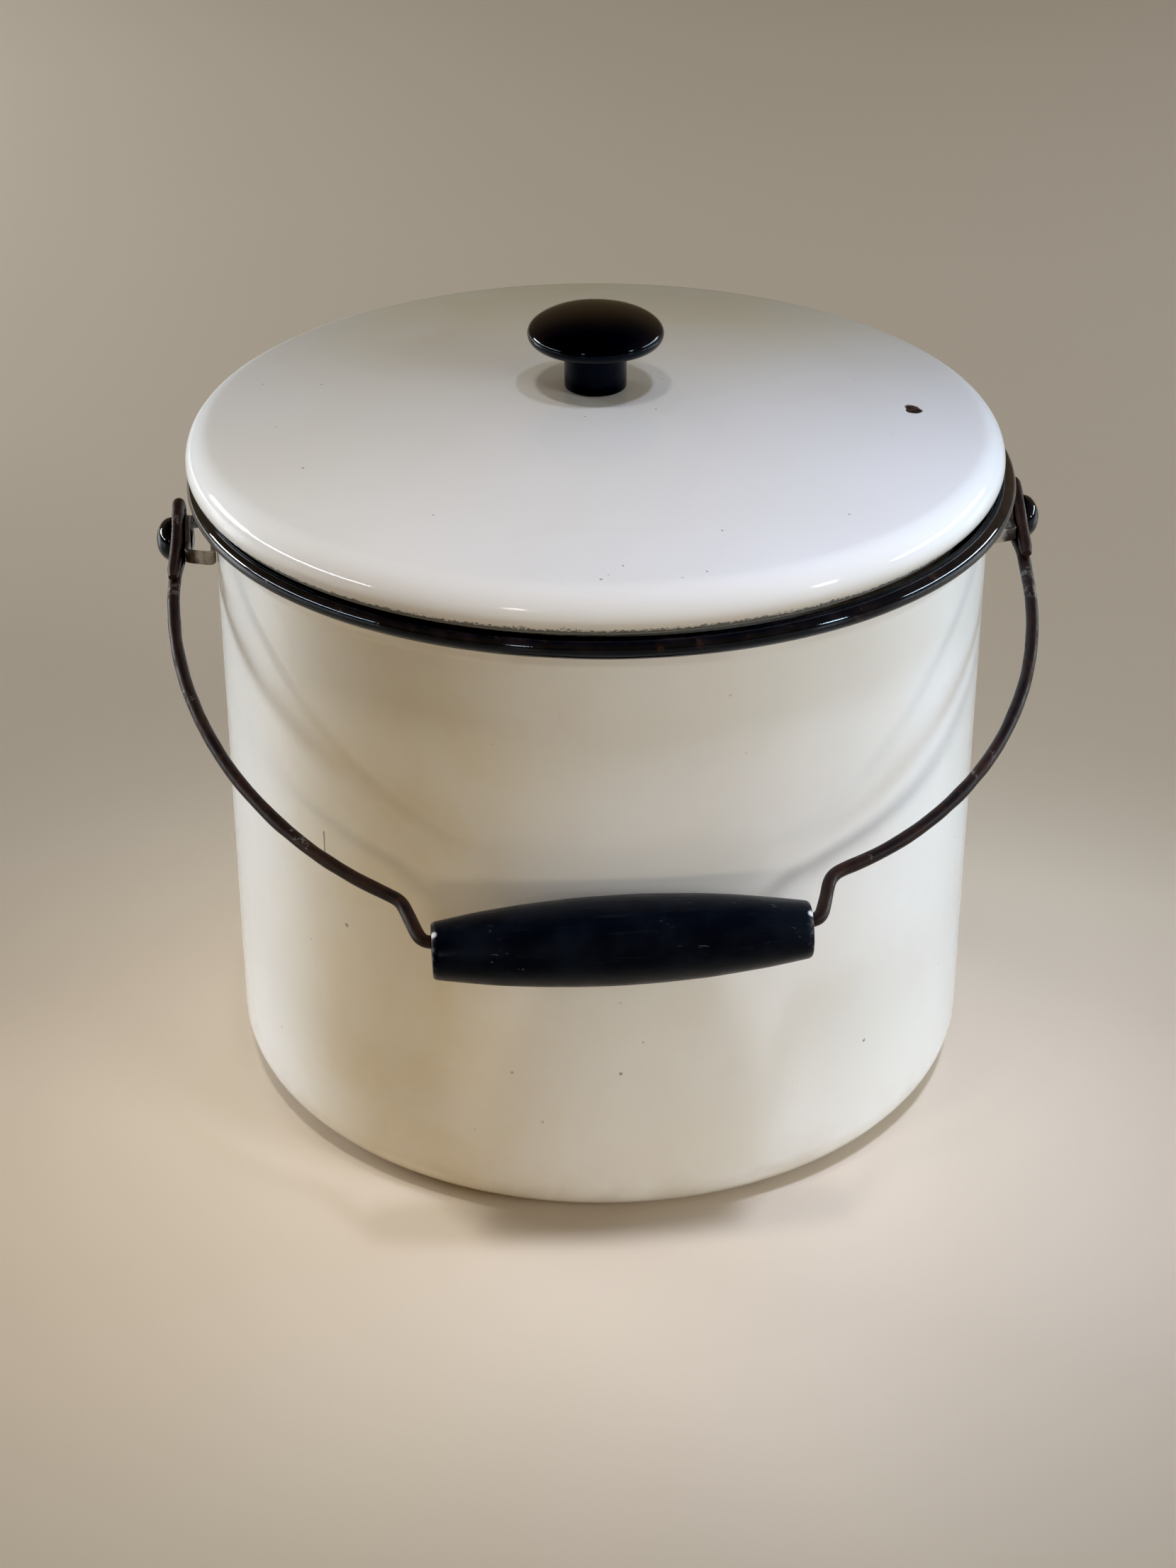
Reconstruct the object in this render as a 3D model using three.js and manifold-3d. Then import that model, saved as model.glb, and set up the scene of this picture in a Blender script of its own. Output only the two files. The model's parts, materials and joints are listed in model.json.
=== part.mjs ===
// Enamelled milk pail with a lift-off lid and a swinging bail handle.
// Millimetres, +Z up. The origin is the centre of the flat bottom, -Y is the front.
import * as THREE from 'three';
import { mergeVertices } from 'three/addons/utils/BufferGeometryUtils.js';
import Module from 'manifold-3d';

const wasm = await Module();
wasm.setup();

// ---- Driving dimensions ----
const GAP = 0.3; // space left between pieces that touch

// Body: a straight drawn cylinder with a rolled rim over a wire
const SHEET = 1.0; // enamelled sheet steel
const WALL_R = 127.7;
const CORNER_R = 15;
const FLARE_START_Z = 202;
const RIM_R = 132.6; // circle through the middle of the rolled rim
const RIM_Z = 212.75;
const RIM_ROLL_R = 3.35;
const RIM_WIRE_R = RIM_ROLL_R - SHEET - GAP;

// Ears: a strap bridge on each side, with a domed stud for the bail
const PIVOT_Z = 191;
const EAR_STRAP_H = 4.6;
const EAR_STRAP_T = 1.6;
const EAR_BAR_X = 136.8; // middle of the strap's outer bar
const EAR_BAR_Y = 13.5; // from the middle of the ear to each end of its bar
const EAR_LEG_Y = 16.5; // where a leg meets the wall
const EAR_FOOT_Y = 8; // end of a foot, which is turned in behind the bar
const EAR_BEND_R = 2;
const EAR_BOSS_R = 7.8;
const STUD_R = 3.0;
const STUD_HEAD_R = 7.2;
const STUD_HEAD_H = 5.0;
const STUD_TAIL_R = 4.0;
const STUD_TAIL_H = 0.8;
const STUD_TAIL_BEVEL = 0.4;

// Bail: one bent wire through a turned wooden grip
const WIRE_R = 2.1;
const EYE_X = 140;
const EYE_HALF_WIDTH = 6.1; // middle of the wire, so the stud has 1 mm of play
const EYE_TOP = 7.3; // the stud sits low in its eye by this much
const TAIL_END = 20;
const TAIL_OFFSET = 4.7;
const NECK_END = 18; // where the shank has come back to the middle of its eye
// The bow is bent by hand, so its halves differ. Each is an arc about a centre that lies this far
// out from the middle and along from the pivot, and ends at its shoulder.
const BOW_RIGHT = { out: 21.5, along: 28.8, radius: 118.7, shoulder: 62.5 };
const BOW_LEFT = { out: 4.2, along: 24, radius: 137.2, shoulder: 70 };
const SHOULDER_BEND = 8;
const GRIP_BEND = 5; // where the wire turns into the grip
const GRIP_TO_BEND = 3;
const GRIP_HALF = 58;
const GRIP_END_R = 8.7;
const GRIP_MID_R = 13.9;
const GRIP_BORE_R = 5.4;
const GRIP_BEVEL = 1.2;
const GRIP_HANG = 3.0; // the grip hangs on the wire by the slack in its bore
const GRIP_X = -3.2; // the wire's straight stretch and the grip sit left of the middle
const GRIP_TILT_DEG = 1.5; // and lower at their left end

// Lid: a shallow dome with a rolled shoulder and a skirt inside the mouth
const LID_SHIFT = { x: -2, y: -1.2 }; // the lid has settled off centre in its play
const LID_R = 133.7;
const LID_SEAT_Z = RIM_Z + RIM_ROLL_R + GAP;
const LID_WIDEST_Z = 222;
const LID_SHOULDER_R = 9.7;
const LID_CURL_R = 5.5;
const LID_DOME_H = 10.2;
const LID_SKIRT_R = 122.2;
const LID_SKIRT_Z = 204;
const LID_SKIRT_BEND = 1;
const LID_NOSE_R = 1.2; // folded lower edge, which rests on the rim
const LID_NOSE_AT_R = 130;
const LID_LAND_R = 11.5; // flat land under the knob
const SCREW_HOLE_R = 2.7;

// Knob: moulded mushroom on a brass insert, held by a screw from below
const KNOB_R = 22.1;
const KNOB_EDGE_R = 3.4;
const KNOB_STEM_R = 10.2;
const KNOB_STEM_H = 14.9;
const KNOB_CROWN_H = 8.1;
const KNOB_FOOT_BEVEL = 0.8;
const KNOB_FILLET_R = 2.2; // between the stem and the head's underside
const INSERT_R = 4.2;
const INSERT_H = 11;
const SCREW_R = 2.3;
const SCREW_HEAD_R = 4.6;
const SCREW_HEAD_H = 2.8;
const SCREW_POINT = 0.6; // bevel at the tip
const SLOT_W = 1.1;
const SLOT_D = 1.3;
const WASHER_R = 6.5;
const WASHER_T = 1.0;

const ROUND_LARGE = 56; // segments around the pail
const ROUND_KNOB = 28;
const ROUND_SMALL = 24;

// ---- Materials ----
const enamelWhite = finish(0xe9e7e0, 0.16, 0.0);
const enamelBlack = finish(0x0e0f12, 0.18, 0.0);
const earEnamel = finish(0xb9b4a8, 0.3, 0.0);
const wireSteel = finish(0x2a1f1a, 0.6, 0.6);
const galvanised = finish(0x8d9092, 0.5, 0.9);
const gripPaint = finish(0x0f1115, 0.32, 0.0);
const phenolic = finish(0x0b0a0b, 0.14, 0.0);
const brass = finish(0xb08d45, 0.35, 1.0);
const screwSteel = finish(0xa7a8a6, 0.4, 1.0);

function finish(color, roughness, metalness) {
  return new THREE.MeshStandardMaterial({ color, roughness, metalness });
}

// ---- Shape helpers ----
const rad = THREE.MathUtils.degToRad;
const v2 = (x, y) => new THREE.Vector2(x, y);

/** Points on an arc, from one angle in degrees to another, both ends included. */
function arc(cx, cy, radius, fromDeg, toDeg, steps) {
  return Array.from({ length: steps + 1 }, (_, i) => {
    const angle = rad(fromDeg + ((toDeg - fromDeg) * i) / steps);
    return v2(cx + radius * Math.cos(angle), cy + radius * Math.sin(angle));
  });
}

/** Smooth step from 0 to 1. */
function ease(t) {
  return t * t * (3 - 2 * t);
}

/** Solid of revolution about Z from an (r, z) outline, faces out whichever way it runs. */
function revolve(outline, segments) {
  const ring = outline[0].x > 0 ? [...outline, outline[0].clone()] : outline;
  const twiceArea = ring.reduce((sum, p, i) => {
    const next = ring[(i + 1) % ring.length];
    return sum + p.x * next.y - next.x * p.y;
  }, 0);
  const ordered = twiceArea > 0 ? ring : [...ring].reverse();
  return new THREE.LatheGeometry(ordered, segments).rotateX(Math.PI / 2);
}

/** Solid of revolution about X from an (r, x) outline. */
function revolveX(outline, segments) {
  return revolve(outline, segments).rotateY(Math.PI / 2);
}

function toManifold(geometry) {
  const bare = geometry.clone();
  bare.deleteAttribute('normal');
  bare.deleteAttribute('uv');
  const merged = mergeVertices(bare, 1e-4);
  return new wasm.Manifold(new wasm.Mesh({
    numProp: 3,
    vertProperties: new Float32Array(merged.attributes.position.array),
    triVerts: new Uint32Array(merged.index.array),
  }));
}

function fromManifold(solid) {
  const mesh = solid.getMesh();
  const geometry = new THREE.BufferGeometry();
  geometry.setAttribute('position', new THREE.BufferAttribute(mesh.vertProperties, 3));
  geometry.setIndex(new THREE.BufferAttribute(mesh.triVerts, 1));
  geometry.computeVertexNormals();
  return geometry;
}

function piece(name, geometry, material) {
  const mesh = new THREE.Mesh(geometry, material);
  mesh.name = name;
  return mesh;
}

// ---- Body ----
/** The wall's way out to the rim, from the straight part to just under the roll. */
function flare(offset) {
  const steps = 4;
  const reach = RIM_R - RIM_ROLL_R + SHEET - WALL_R;
  return Array.from({ length: steps }, (_, i) => {
    const t = i / (steps - 1);
    return v2(WALL_R + reach * ease(t) - offset, FLARE_START_Z + 8 * t);
  });
}

function bodyShell() {
  const topZ = RIM_Z - GAP;
  const outerTopR = RIM_R - RIM_ROLL_R + SHEET;
  const centre = WALL_R - CORNER_R;
  return revolve([
    v2(0, 0),
    ...arc(centre, CORNER_R, CORNER_R, -90, 0, 5),
    ...flare(0),
    v2(outerTopR, topZ),
    v2(outerTopR - SHEET, topZ),
    ...flare(SHEET).reverse(),
    ...arc(centre, CORNER_R, CORNER_R - SHEET, 0, -90, 4),
    v2(0, SHEET),
  ], ROUND_LARGE);
}

/** The rolled edge: a C section that starts on the wall's top edge and curls out and under. */
function rimBead() {
  const start = 180;
  const end = -120;
  return revolve([
    ...arc(RIM_R, RIM_Z, RIM_ROLL_R, start, end, 10),
    ...arc(RIM_R, RIM_Z, RIM_ROLL_R - SHEET, end, start, 6),
  ], ROUND_LARGE);
}

function rimWire() {
  return revolve(arc(RIM_R, RIM_Z, RIM_WIRE_R, 0, 300, 5), ROUND_LARGE);
}

// ---- Ears ----
/** Plan outline of a strap that follows a line of points, as thick as given. */
function strapOutline(line, thickness) {
  const side = (sign) => line.map((p, i) => {
    const back = p.clone().sub(line[Math.max(i - 1, 0)]);
    const ahead = line[Math.min(i + 1, line.length - 1)].clone().sub(p);
    const along = back.normalize().add(ahead.normalize()).normalize();
    const reference = ahead.lengthSq() > 0 ? ahead : back;
    const mitre = 1 / Math.max(along.dot(reference), 0.5);
    const out = v2(along.y, -along.x).multiplyScalar((sign * thickness * mitre) / 2);
    return p.clone().add(out);
  });
  return [...side(1), ...side(-1).reverse()];
}

/** A line of corner points with each inner corner rounded, to one radius or a list of them. */
function rounded(corners, radii, steps) {
  return corners.flatMap((corner, i) => {
    if (i === 0 || i === corners.length - 1) return [corner];
    const toBack = corners[i - 1].clone().sub(corner).normalize();
    const toAhead = corners[i + 1].clone().sub(corner).normalize();
    const half = Math.acos(THREE.MathUtils.clamp(toBack.dot(toAhead), -1, 1)) / 2;
    const reach = (radii[i] ?? radii) / Math.tan(half);
    const from = corner.clone().addScaledVector(toBack, reach);
    const to = corner.clone().addScaledVector(toAhead, reach);
    const curve = new THREE.QuadraticBezierCurve(from, corner, to);
    return curve.getPoints(steps);
  });
}

/** Ear on the +X side: feet on the wall, two legs, and an outer bar with a round boss. */
function earBracket() {
  const footR = WALL_R + GAP + EAR_STRAP_T / 2;
  const onWall = (y) => v2(Math.sqrt(footR ** 2 - y ** 2), y);
  const footMiddle = (EAR_LEG_Y + EAR_FOOT_Y) / 2;
  const corners = [
    onWall(-EAR_FOOT_Y), onWall(-footMiddle), onWall(-EAR_LEG_Y), v2(EAR_BAR_X, -EAR_BAR_Y),
    v2(EAR_BAR_X, EAR_BAR_Y), onWall(EAR_LEG_Y), onWall(footMiddle), onWall(EAR_FOOT_Y),
  ];
  const line = rounded(corners, EAR_BEND_R, 4);
  const outline = new THREE.Shape(strapOutline(line, EAR_STRAP_T));
  const strap = new THREE.ExtrudeGeometry(outline, { depth: EAR_STRAP_H, bevelEnabled: false });
  strap.translate(0, 0, PIVOT_Z - EAR_STRAP_H / 2);
  const disc = new THREE.CylinderGeometry(EAR_BOSS_R, EAR_BOSS_R, EAR_STRAP_T, ROUND_SMALL);
  disc.rotateZ(Math.PI / 2).translate(EAR_BAR_X, 0, PIVOT_Z);
  const holeR = STUD_R + GAP;
  const hole = new THREE.CylinderGeometry(holeR, holeR, 4 * EAR_STRAP_T, ROUND_SMALL);
  hole.rotateZ(Math.PI / 2).translate(EAR_BAR_X, 0, PIVOT_Z);
  const solid = toManifold(strap).add(toManifold(disc)).subtract(toManifold(hole));
  return fromManifold(solid);
}

/** Stud on the +X side: peened tail behind the bar, shank, and a domed head outside the eye. */
function earStud() {
  const tailX = EAR_BAR_X - EAR_STRAP_T / 2 - GAP - STUD_TAIL_H;
  const headX = EYE_X + WIRE_R + GAP;
  const dome = arc(0, 0, 1, 0, 90, 5).map((p) => v2(STUD_HEAD_R * p.x, headX + STUD_HEAD_H * p.y));
  dome[dome.length - 1].x = 0;
  return revolveX([
    v2(0, tailX),
    v2(STUD_TAIL_R - STUD_TAIL_BEVEL, tailX),
    v2(STUD_TAIL_R, tailX + STUD_TAIL_BEVEL),
    v2(STUD_TAIL_R, tailX + STUD_TAIL_H),
    v2(STUD_R, tailX + STUD_TAIL_H),
    v2(STUD_R, headX),
    ...dome,
  ], ROUND_SMALL).translate(0, 0, PIVOT_Z);
}

/** The same piece turned half round for the -X side. */
function turned(geometry) {
  return geometry.clone().rotateZ(Math.PI);
}

// ---- Bail ----
// The grip rests against the wall in front; the wire's plane follows from that.
const GRIP_Y = -(WALL_R + GRIP_MID_R + GAP);
const GRIP_Z = 118;
const WIRE_REACH = Math.hypot(GRIP_Y, PIVOT_Z - GRIP_Z - GRIP_HANG);
const ALONG = new THREE.Vector3(0, GRIP_Y, GRIP_Z + GRIP_HANG - PIVOT_Z).normalize();
const ACROSS = new THREE.Vector3(0, ALONG.z, -ALONG.y);

/** Point of the bail: x, distance from the pivot axis in its plane, height off that plane. */
function onBail(x, along, across = 0) {
  return new THREE.Vector3(x, 0, PIVOT_Z)
    .addScaledVector(ALONG, along)
    .addScaledVector(ACROSS, across);
}

/** A path with one section of the sweep at each of its points. */
class WirePath extends THREE.Curve {
  constructor(points) {
    super();
    this.points = points;
  }

  getUtoTmapping(u) {
    return u;
  }

  getPoint(t, target = new THREE.Vector3()) {
    const last = this.points.length - 1;
    const at = THREE.MathUtils.clamp(t, 0, 1) * last;
    const index = Math.min(Math.floor(at), last - 1);
    return target.lerpVectors(this.points[index], this.points[index + 1], at - index);
  }
}

/** How far out a half of the bow lies, at a distance along from the pivot. */
function bowOut(half, along) {
  if (along > half.along) return half.out + Math.sqrt(half.radius ** 2 - (along - half.along) ** 2);
  return EYE_X + (half.out + half.radius - EYE_X) * ease(along / half.along);
}

/** Half of the bail, from the tail of its eye to where the wire turns into the grip. */
function halfBail(half, side) {
  const at = (out, along, across) => onBail(side * out, along, across);
  const tail = [1, 0.7, 0.4, 0.2].map((share) => {
    const along = TAIL_END * share;
    const across = EYE_HALF_WIDTH + (TAIL_OFFSET - EYE_HALF_WIDTH) * ease(Math.min(share / 0.7, 1));
    return at(bowOut(half, along), along, across);
  });
  const cap = arc(-EYE_TOP, 0, EYE_HALF_WIDTH, 90, 270, 8).map((p) => at(EYE_X, p.x, p.y));
  const neck = [0.1, 0.3, 0.5, 0.7, 0.9, 1].map((share) => {
    const along = NECK_END * share;
    return at(bowOut(half, along), along, -EYE_HALF_WIDTH * (1 - ease(share)));
  });
  const shoulderDeg = THREE.MathUtils.radToDeg(Math.acos((half.shoulder - half.out) / half.radius));
  const bow = arc(half.out, half.along, half.radius, 0, shoulderDeg, 12);
  const shoulderTop = bow.pop();
  const tilt = rad(GRIP_TILT_DEG);
  const reach = GRIP_HALF + GRIP_TO_BEND;
  const bend = v2(reach * Math.cos(tilt) + side * GRIP_X, WIRE_REACH - side * reach * Math.sin(tilt));
  const inside = v2(side * GRIP_X, WIRE_REACH);
  const shoulder = rounded(
    [bow[bow.length - 1], shoulderTop, bend, inside],
    [0, SHOULDER_BEND, GRIP_BEND, 0],
    4,
  ).slice(1, -1);
  return [...tail, ...cap, ...neck, ...[...bow, ...shoulder].map((p) => at(p.x, p.y, 0))];
}

function bailWire() {
  const points = [...halfBail(BOW_RIGHT, 1), ...halfBail(BOW_LEFT, -1).reverse()];
  const section = new THREE.Shape(arc(0, 0, WIRE_R, 0, 315, 7));
  return new THREE.ExtrudeGeometry(section, {
    steps: points.length - 1,
    extrudePath: new WirePath(points),
    bevelEnabled: false,
  });
}

function bailGrip() {
  const rise = GRIP_MID_R - GRIP_END_R;
  const barrelR = (GRIP_HALF ** 2 + rise ** 2) / (2 * rise);
  const barrel = Array.from({ length: 9 }, (_, i) => {
    const x = (GRIP_HALF - GRIP_BEVEL) * (-1 + i / 4);
    return v2(GRIP_MID_R - barrelR + Math.sqrt(barrelR ** 2 - x ** 2), x);
  });
  const turn = new THREE.Matrix4().makeRotationAxis(ACROSS, rad(GRIP_TILT_DEG));
  return revolveX([
    v2(GRIP_BORE_R, -GRIP_HALF),
    v2(GRIP_END_R - GRIP_BEVEL, -GRIP_HALF),
    ...barrel,
    v2(GRIP_END_R - GRIP_BEVEL, GRIP_HALF),
    v2(GRIP_BORE_R, GRIP_HALF),
  ], ROUND_SMALL).applyMatrix4(turn).translate(GRIP_X, GRIP_Y, GRIP_Z);
}

// ---- Lid ----
const DOME_EDGE_DEG = 80; // where the shoulder arc meets the dome, from horizontal
const SHOULDER_R = LID_R - LID_SHOULDER_R;
const DOME_EDGE = arc(SHOULDER_R, LID_WIDEST_Z, LID_SHOULDER_R, DOME_EDGE_DEG, DOME_EDGE_DEG, 1)[0];
const LID_TOP_Z = DOME_EDGE.y + LID_DOME_H;

/** The dome's line from the knob's land to its edge, lowered for the inside face. */
function domeLine(lowered) {
  const steps = 4;
  return Array.from({ length: steps + 1 }, (_, i) => {
    const r = LID_LAND_R + ((DOME_EDGE.x - LID_LAND_R) * i) / steps;
    const share = (r ** 2 - LID_LAND_R ** 2) / (DOME_EDGE.x ** 2 - LID_LAND_R ** 2);
    return v2(r, LID_TOP_Z - LID_DOME_H * share - lowered);
  });
}

function lidShell() {
  const curlX = LID_R - LID_CURL_R;
  const nose = arc(LID_NOSE_AT_R, LID_SEAT_Z + LID_NOSE_R, LID_NOSE_R, 10, -90, 3);
  const skirtTop = LID_SEAT_Z + 2 * LID_NOSE_R - SHEET;
  const outside = [
    v2(SCREW_HOLE_R, LID_TOP_Z),
    ...domeLine(0).slice(0, -1),
    ...arc(SHOULDER_R, LID_WIDEST_Z, LID_SHOULDER_R, DOME_EDGE_DEG, 0, 5),
    ...arc(curlX, LID_WIDEST_Z, LID_CURL_R, -18, -54, 2),
    ...nose,
    v2(LID_SKIRT_R + LID_SKIRT_BEND, LID_SEAT_Z),
    v2(LID_SKIRT_R, LID_SEAT_Z - LID_SKIRT_BEND),
    v2(LID_SKIRT_R, LID_SKIRT_Z),
  ];
  const inside = [
    v2(LID_SKIRT_R - SHEET, LID_SKIRT_Z),
    v2(LID_SKIRT_R - SHEET, skirtTop),
    v2(curlX, skirtTop + LID_SKIRT_BEND / 2),
    ...arc(curlX, LID_WIDEST_Z, LID_CURL_R - SHEET, -50, -18, 2),
    ...arc(SHOULDER_R, LID_WIDEST_Z, LID_SHOULDER_R - SHEET, 0, DOME_EDGE_DEG, 3),
    ...domeLine(SHEET).reverse().slice(1),
    v2(SCREW_HOLE_R, LID_TOP_Z - SHEET),
  ];
  return revolve([...outside, ...inside], ROUND_LARGE);
}

// ---- Knob and its fastening, from the lid's top face up and down ----
const KNOB_BASE_Z = LID_TOP_Z + GAP;
const INSERT_TOP_Z = KNOB_BASE_Z + INSERT_H;

function lidKnob() {
  const headZ = KNOB_BASE_Z + KNOB_STEM_H;
  const edgeX = KNOB_R - KNOB_EDGE_R;
  const edgeZ = headZ + KNOB_EDGE_R;
  const bore = INSERT_R + GAP;
  const crown = arc(0, 0, 1, 0, 90, 7)
    .slice(1)
    .map((p) => v2(KNOB_R * p.x, edgeZ + KNOB_CROWN_H * p.y));
  crown[crown.length - 1].x = 0;
  return revolve([
    v2(0, INSERT_TOP_Z + GAP),
    v2(bore, INSERT_TOP_Z + GAP),
    v2(bore, KNOB_BASE_Z),
    v2(KNOB_STEM_R - KNOB_FOOT_BEVEL, KNOB_BASE_Z),
    v2(KNOB_STEM_R, KNOB_BASE_Z + KNOB_FOOT_BEVEL),
    ...arc(KNOB_STEM_R + KNOB_FILLET_R, headZ - KNOB_FILLET_R, KNOB_FILLET_R, 180, 90, 3),
    ...arc(edgeX, edgeZ, KNOB_EDGE_R, -90, 0, 4),
    ...crown,
  ], ROUND_KNOB);
}

function knobInsert() {
  const bore = SCREW_R + GAP;
  return revolve([
    v2(bore, KNOB_BASE_Z),
    v2(INSERT_R, KNOB_BASE_Z),
    v2(INSERT_R, INSERT_TOP_Z),
    v2(bore, INSERT_TOP_Z),
  ], ROUND_SMALL);
}

function knobWasher() {
  const top = LID_TOP_Z - SHEET - GAP;
  return revolve([
    v2(SCREW_HOLE_R, top),
    v2(WASHER_R, top),
    v2(WASHER_R, top - WASHER_T),
    v2(SCREW_HOLE_R, top - WASHER_T),
  ], ROUND_SMALL);
}

function knobScrew() {
  const under = LID_TOP_Z - SHEET - WASHER_T - 2 * GAP;
  const low = under - SCREW_HEAD_H;
  const tip = INSERT_TOP_Z - GAP;
  const rim = SCREW_HEAD_H / 3; // straight edge of the pan head
  const head = arc(0, 0, 1, 0, -90, 5)
    .slice(0, -1)
    .map((p) => v2(SCREW_HEAD_R * p.x, under - rim + (SCREW_HEAD_H - rim) * p.y));
  const screw = revolve([
    v2(0, tip),
    v2(SCREW_R - SCREW_POINT, tip),
    v2(SCREW_R, tip - SCREW_POINT),
    v2(SCREW_R, under),
    v2(SCREW_HEAD_R, under),
    ...head,
    v2(0, low),
  ], ROUND_SMALL);
  const slot = new THREE.BoxGeometry(3 * SCREW_HEAD_R, SLOT_W, 2 * SLOT_D).translate(0, 0, low);
  return fromManifold(toManifold(screw).subtract(toManifold(slot)));
}

// ---- Assembly ----
const lid = new THREE.Group();
lid.position.set(LID_SHIFT.x, LID_SHIFT.y, 0);
lid.add(
  piece('lid_shell', lidShell(), enamelWhite),
  piece('lid_knob', lidKnob(), phenolic),
  piece('knob_insert', knobInsert(), brass),
  piece('knob_washer', knobWasher(), screwSteel),
  piece('knob_screw', knobScrew(), screwSteel),
);

const bracket = earBracket();
const stud = earStud();
const pail = new THREE.Group();
pail.add(
  piece('body_shell', bodyShell(), enamelWhite),
  piece('rim_bead', rimBead(), enamelBlack),
  piece('rim_wire', rimWire(), galvanised),
  piece('right_ear_bracket', bracket, earEnamel),
  piece('left_ear_bracket', turned(bracket), earEnamel),
  piece('right_ear_stud', stud, enamelBlack),
  piece('left_ear_stud', turned(stud), enamelBlack),
  piece('bail_wire', bailWire(), wireSteel),
  piece('bail_grip', bailGrip(), gripPaint),
  lid,
);

export default pail;
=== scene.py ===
import json
import math

import bmesh
import bpy
from mathutils import Matrix, Vector, noise


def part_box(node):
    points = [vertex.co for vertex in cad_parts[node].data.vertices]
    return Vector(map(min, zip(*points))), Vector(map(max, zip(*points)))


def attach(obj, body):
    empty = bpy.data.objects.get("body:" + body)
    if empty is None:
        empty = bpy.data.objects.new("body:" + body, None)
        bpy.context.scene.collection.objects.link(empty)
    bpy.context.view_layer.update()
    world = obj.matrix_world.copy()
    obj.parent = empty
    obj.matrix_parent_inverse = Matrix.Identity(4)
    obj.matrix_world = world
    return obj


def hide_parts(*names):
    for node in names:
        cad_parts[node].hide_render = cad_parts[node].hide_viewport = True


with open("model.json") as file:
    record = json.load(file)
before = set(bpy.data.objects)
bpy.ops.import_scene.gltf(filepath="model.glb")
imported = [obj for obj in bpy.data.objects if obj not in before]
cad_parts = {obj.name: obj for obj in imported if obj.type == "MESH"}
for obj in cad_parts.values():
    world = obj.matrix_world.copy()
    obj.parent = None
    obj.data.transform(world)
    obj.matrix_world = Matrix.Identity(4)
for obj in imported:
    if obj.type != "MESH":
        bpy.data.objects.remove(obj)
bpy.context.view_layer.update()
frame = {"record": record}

# Sizes are in millimetres, heights from the flat bottom, +X through the right ear, -Y the front.
MM = 0.001


def box_mm(node):
    """Lowest and highest corner of a CAD node, in millimetres."""
    low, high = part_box(node)
    return low / MM, high / MM


BODY_TOP = box_mm("body_shell")[1]
BEAD_LOW, BEAD_HIGH = box_mm("rim_bead")
LID_LOW, LID_HIGH = box_mm("lid_shell")
KNOB_LOW, KNOB_HIGH = box_mm("lid_knob")
INSERT_LOW, INSERT_HIGH = box_mm("knob_insert")
WASHER_LOW, WASHER_HIGH = box_mm("knob_washer")
SCREW_LOW, SCREW_HIGH = box_mm("knob_screw")
STUD_LOW, STUD_HIGH = box_mm("right_ear_stud")
EAR_HIGH = box_mm("right_ear_bracket")[1]
RIM_CORE_LOW, RIM_CORE_HIGH = box_mm("rim_wire")

SHEET = 1.0
GAP = 0.3  # between pieces that touch
CORNER_R = 15
WALL_R = 127.7
WALL_EDGE_R = BODY_TOP.x
FLARE_LOW, FLARE_HIGH = BODY_TOP.z - 10.7, BODY_TOP.z - 2.7
ROLL_R = (BEAD_HIGH.z - BEAD_LOW.z) / 2
RIM_Z = (BEAD_HIGH.z + BEAD_LOW.z) / 2
RIM_R = BEAD_HIGH.x - ROLL_R

LID_AXIS = ((LID_LOW.x + LID_HIGH.x) / 2, (LID_LOW.y + LID_HIGH.y) / 2)
LID_R = (LID_HIGH.x - LID_LOW.x) / 2
LID_TOP = LID_HIGH.z
LID_SEAT = BEAD_HIGH.z + GAP
LID_WIDEST = LID_SEAT + 5.6
LID_SHOULDER_R = 9.7
LID_CURL_R = 5.5
LID_DOME_H = 10.2
LID_DOME_EDGE_DEG = 80
LID_SKIRT_R = 122.2
LID_NOSE_R = 1.2
LID_NOSE_AT_R = 130
LID_LAND_R = 11.5
LID_HOLE_R = 2.7

PIVOT_Z = (STUD_LOW.z + STUD_HIGH.z) / 2
STRAP_H = 4.6
STRAP_T = 1.6
BAR_X = EAR_HIGH.x - STRAP_T / 2
EYE_X = BAR_X + 3.2
WIRE_R = 2.1

SPIN = next(j for j in frame["record"]["behaviour"]["joints"] if j["name"] == "grip_spin")
GRIP_AT = Vector(SPIN["pos_m"]) / MM
GRIP_AXIS = Vector(SPIN["axis"]).normalized()
GRIP_HALF = 58
GRIP_MID_R = 13.84
GRIP_END_R = 8.7
GRIP_BORE_R = 5.4
GRIP_GLINT_WAY = Vector((0, -0.41, 0.91))  # from its middle line to the painted highlight spot on each end rim
GRIP_HANG = 3  # how far its middle line hangs below the wire's

CENTRE_Z = 103.1  # the middle of the view, on the pail's axis


# ---- Outlines ----
def arc(cx, cy, radius, start, end, steps):
    """Points on an arc between two angles in degrees, both ends included."""
    turns = [math.radians(start + (end - start) * i / steps) for i in range(steps + 1)]
    return [(cx + radius * math.cos(a), cy + radius * math.sin(a)) for a in turns]


def line(start, end, steps):
    """Points on a straight line, without its two ends."""
    shares = [i / steps for i in range(1, steps)]
    return [tuple(a + (b - a) * s for a, b in zip(start, end)) for s in shares]


def ease(t):
    t = min(max(t, 0), 1)
    return t * t * (3 - 2 * t)


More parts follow.
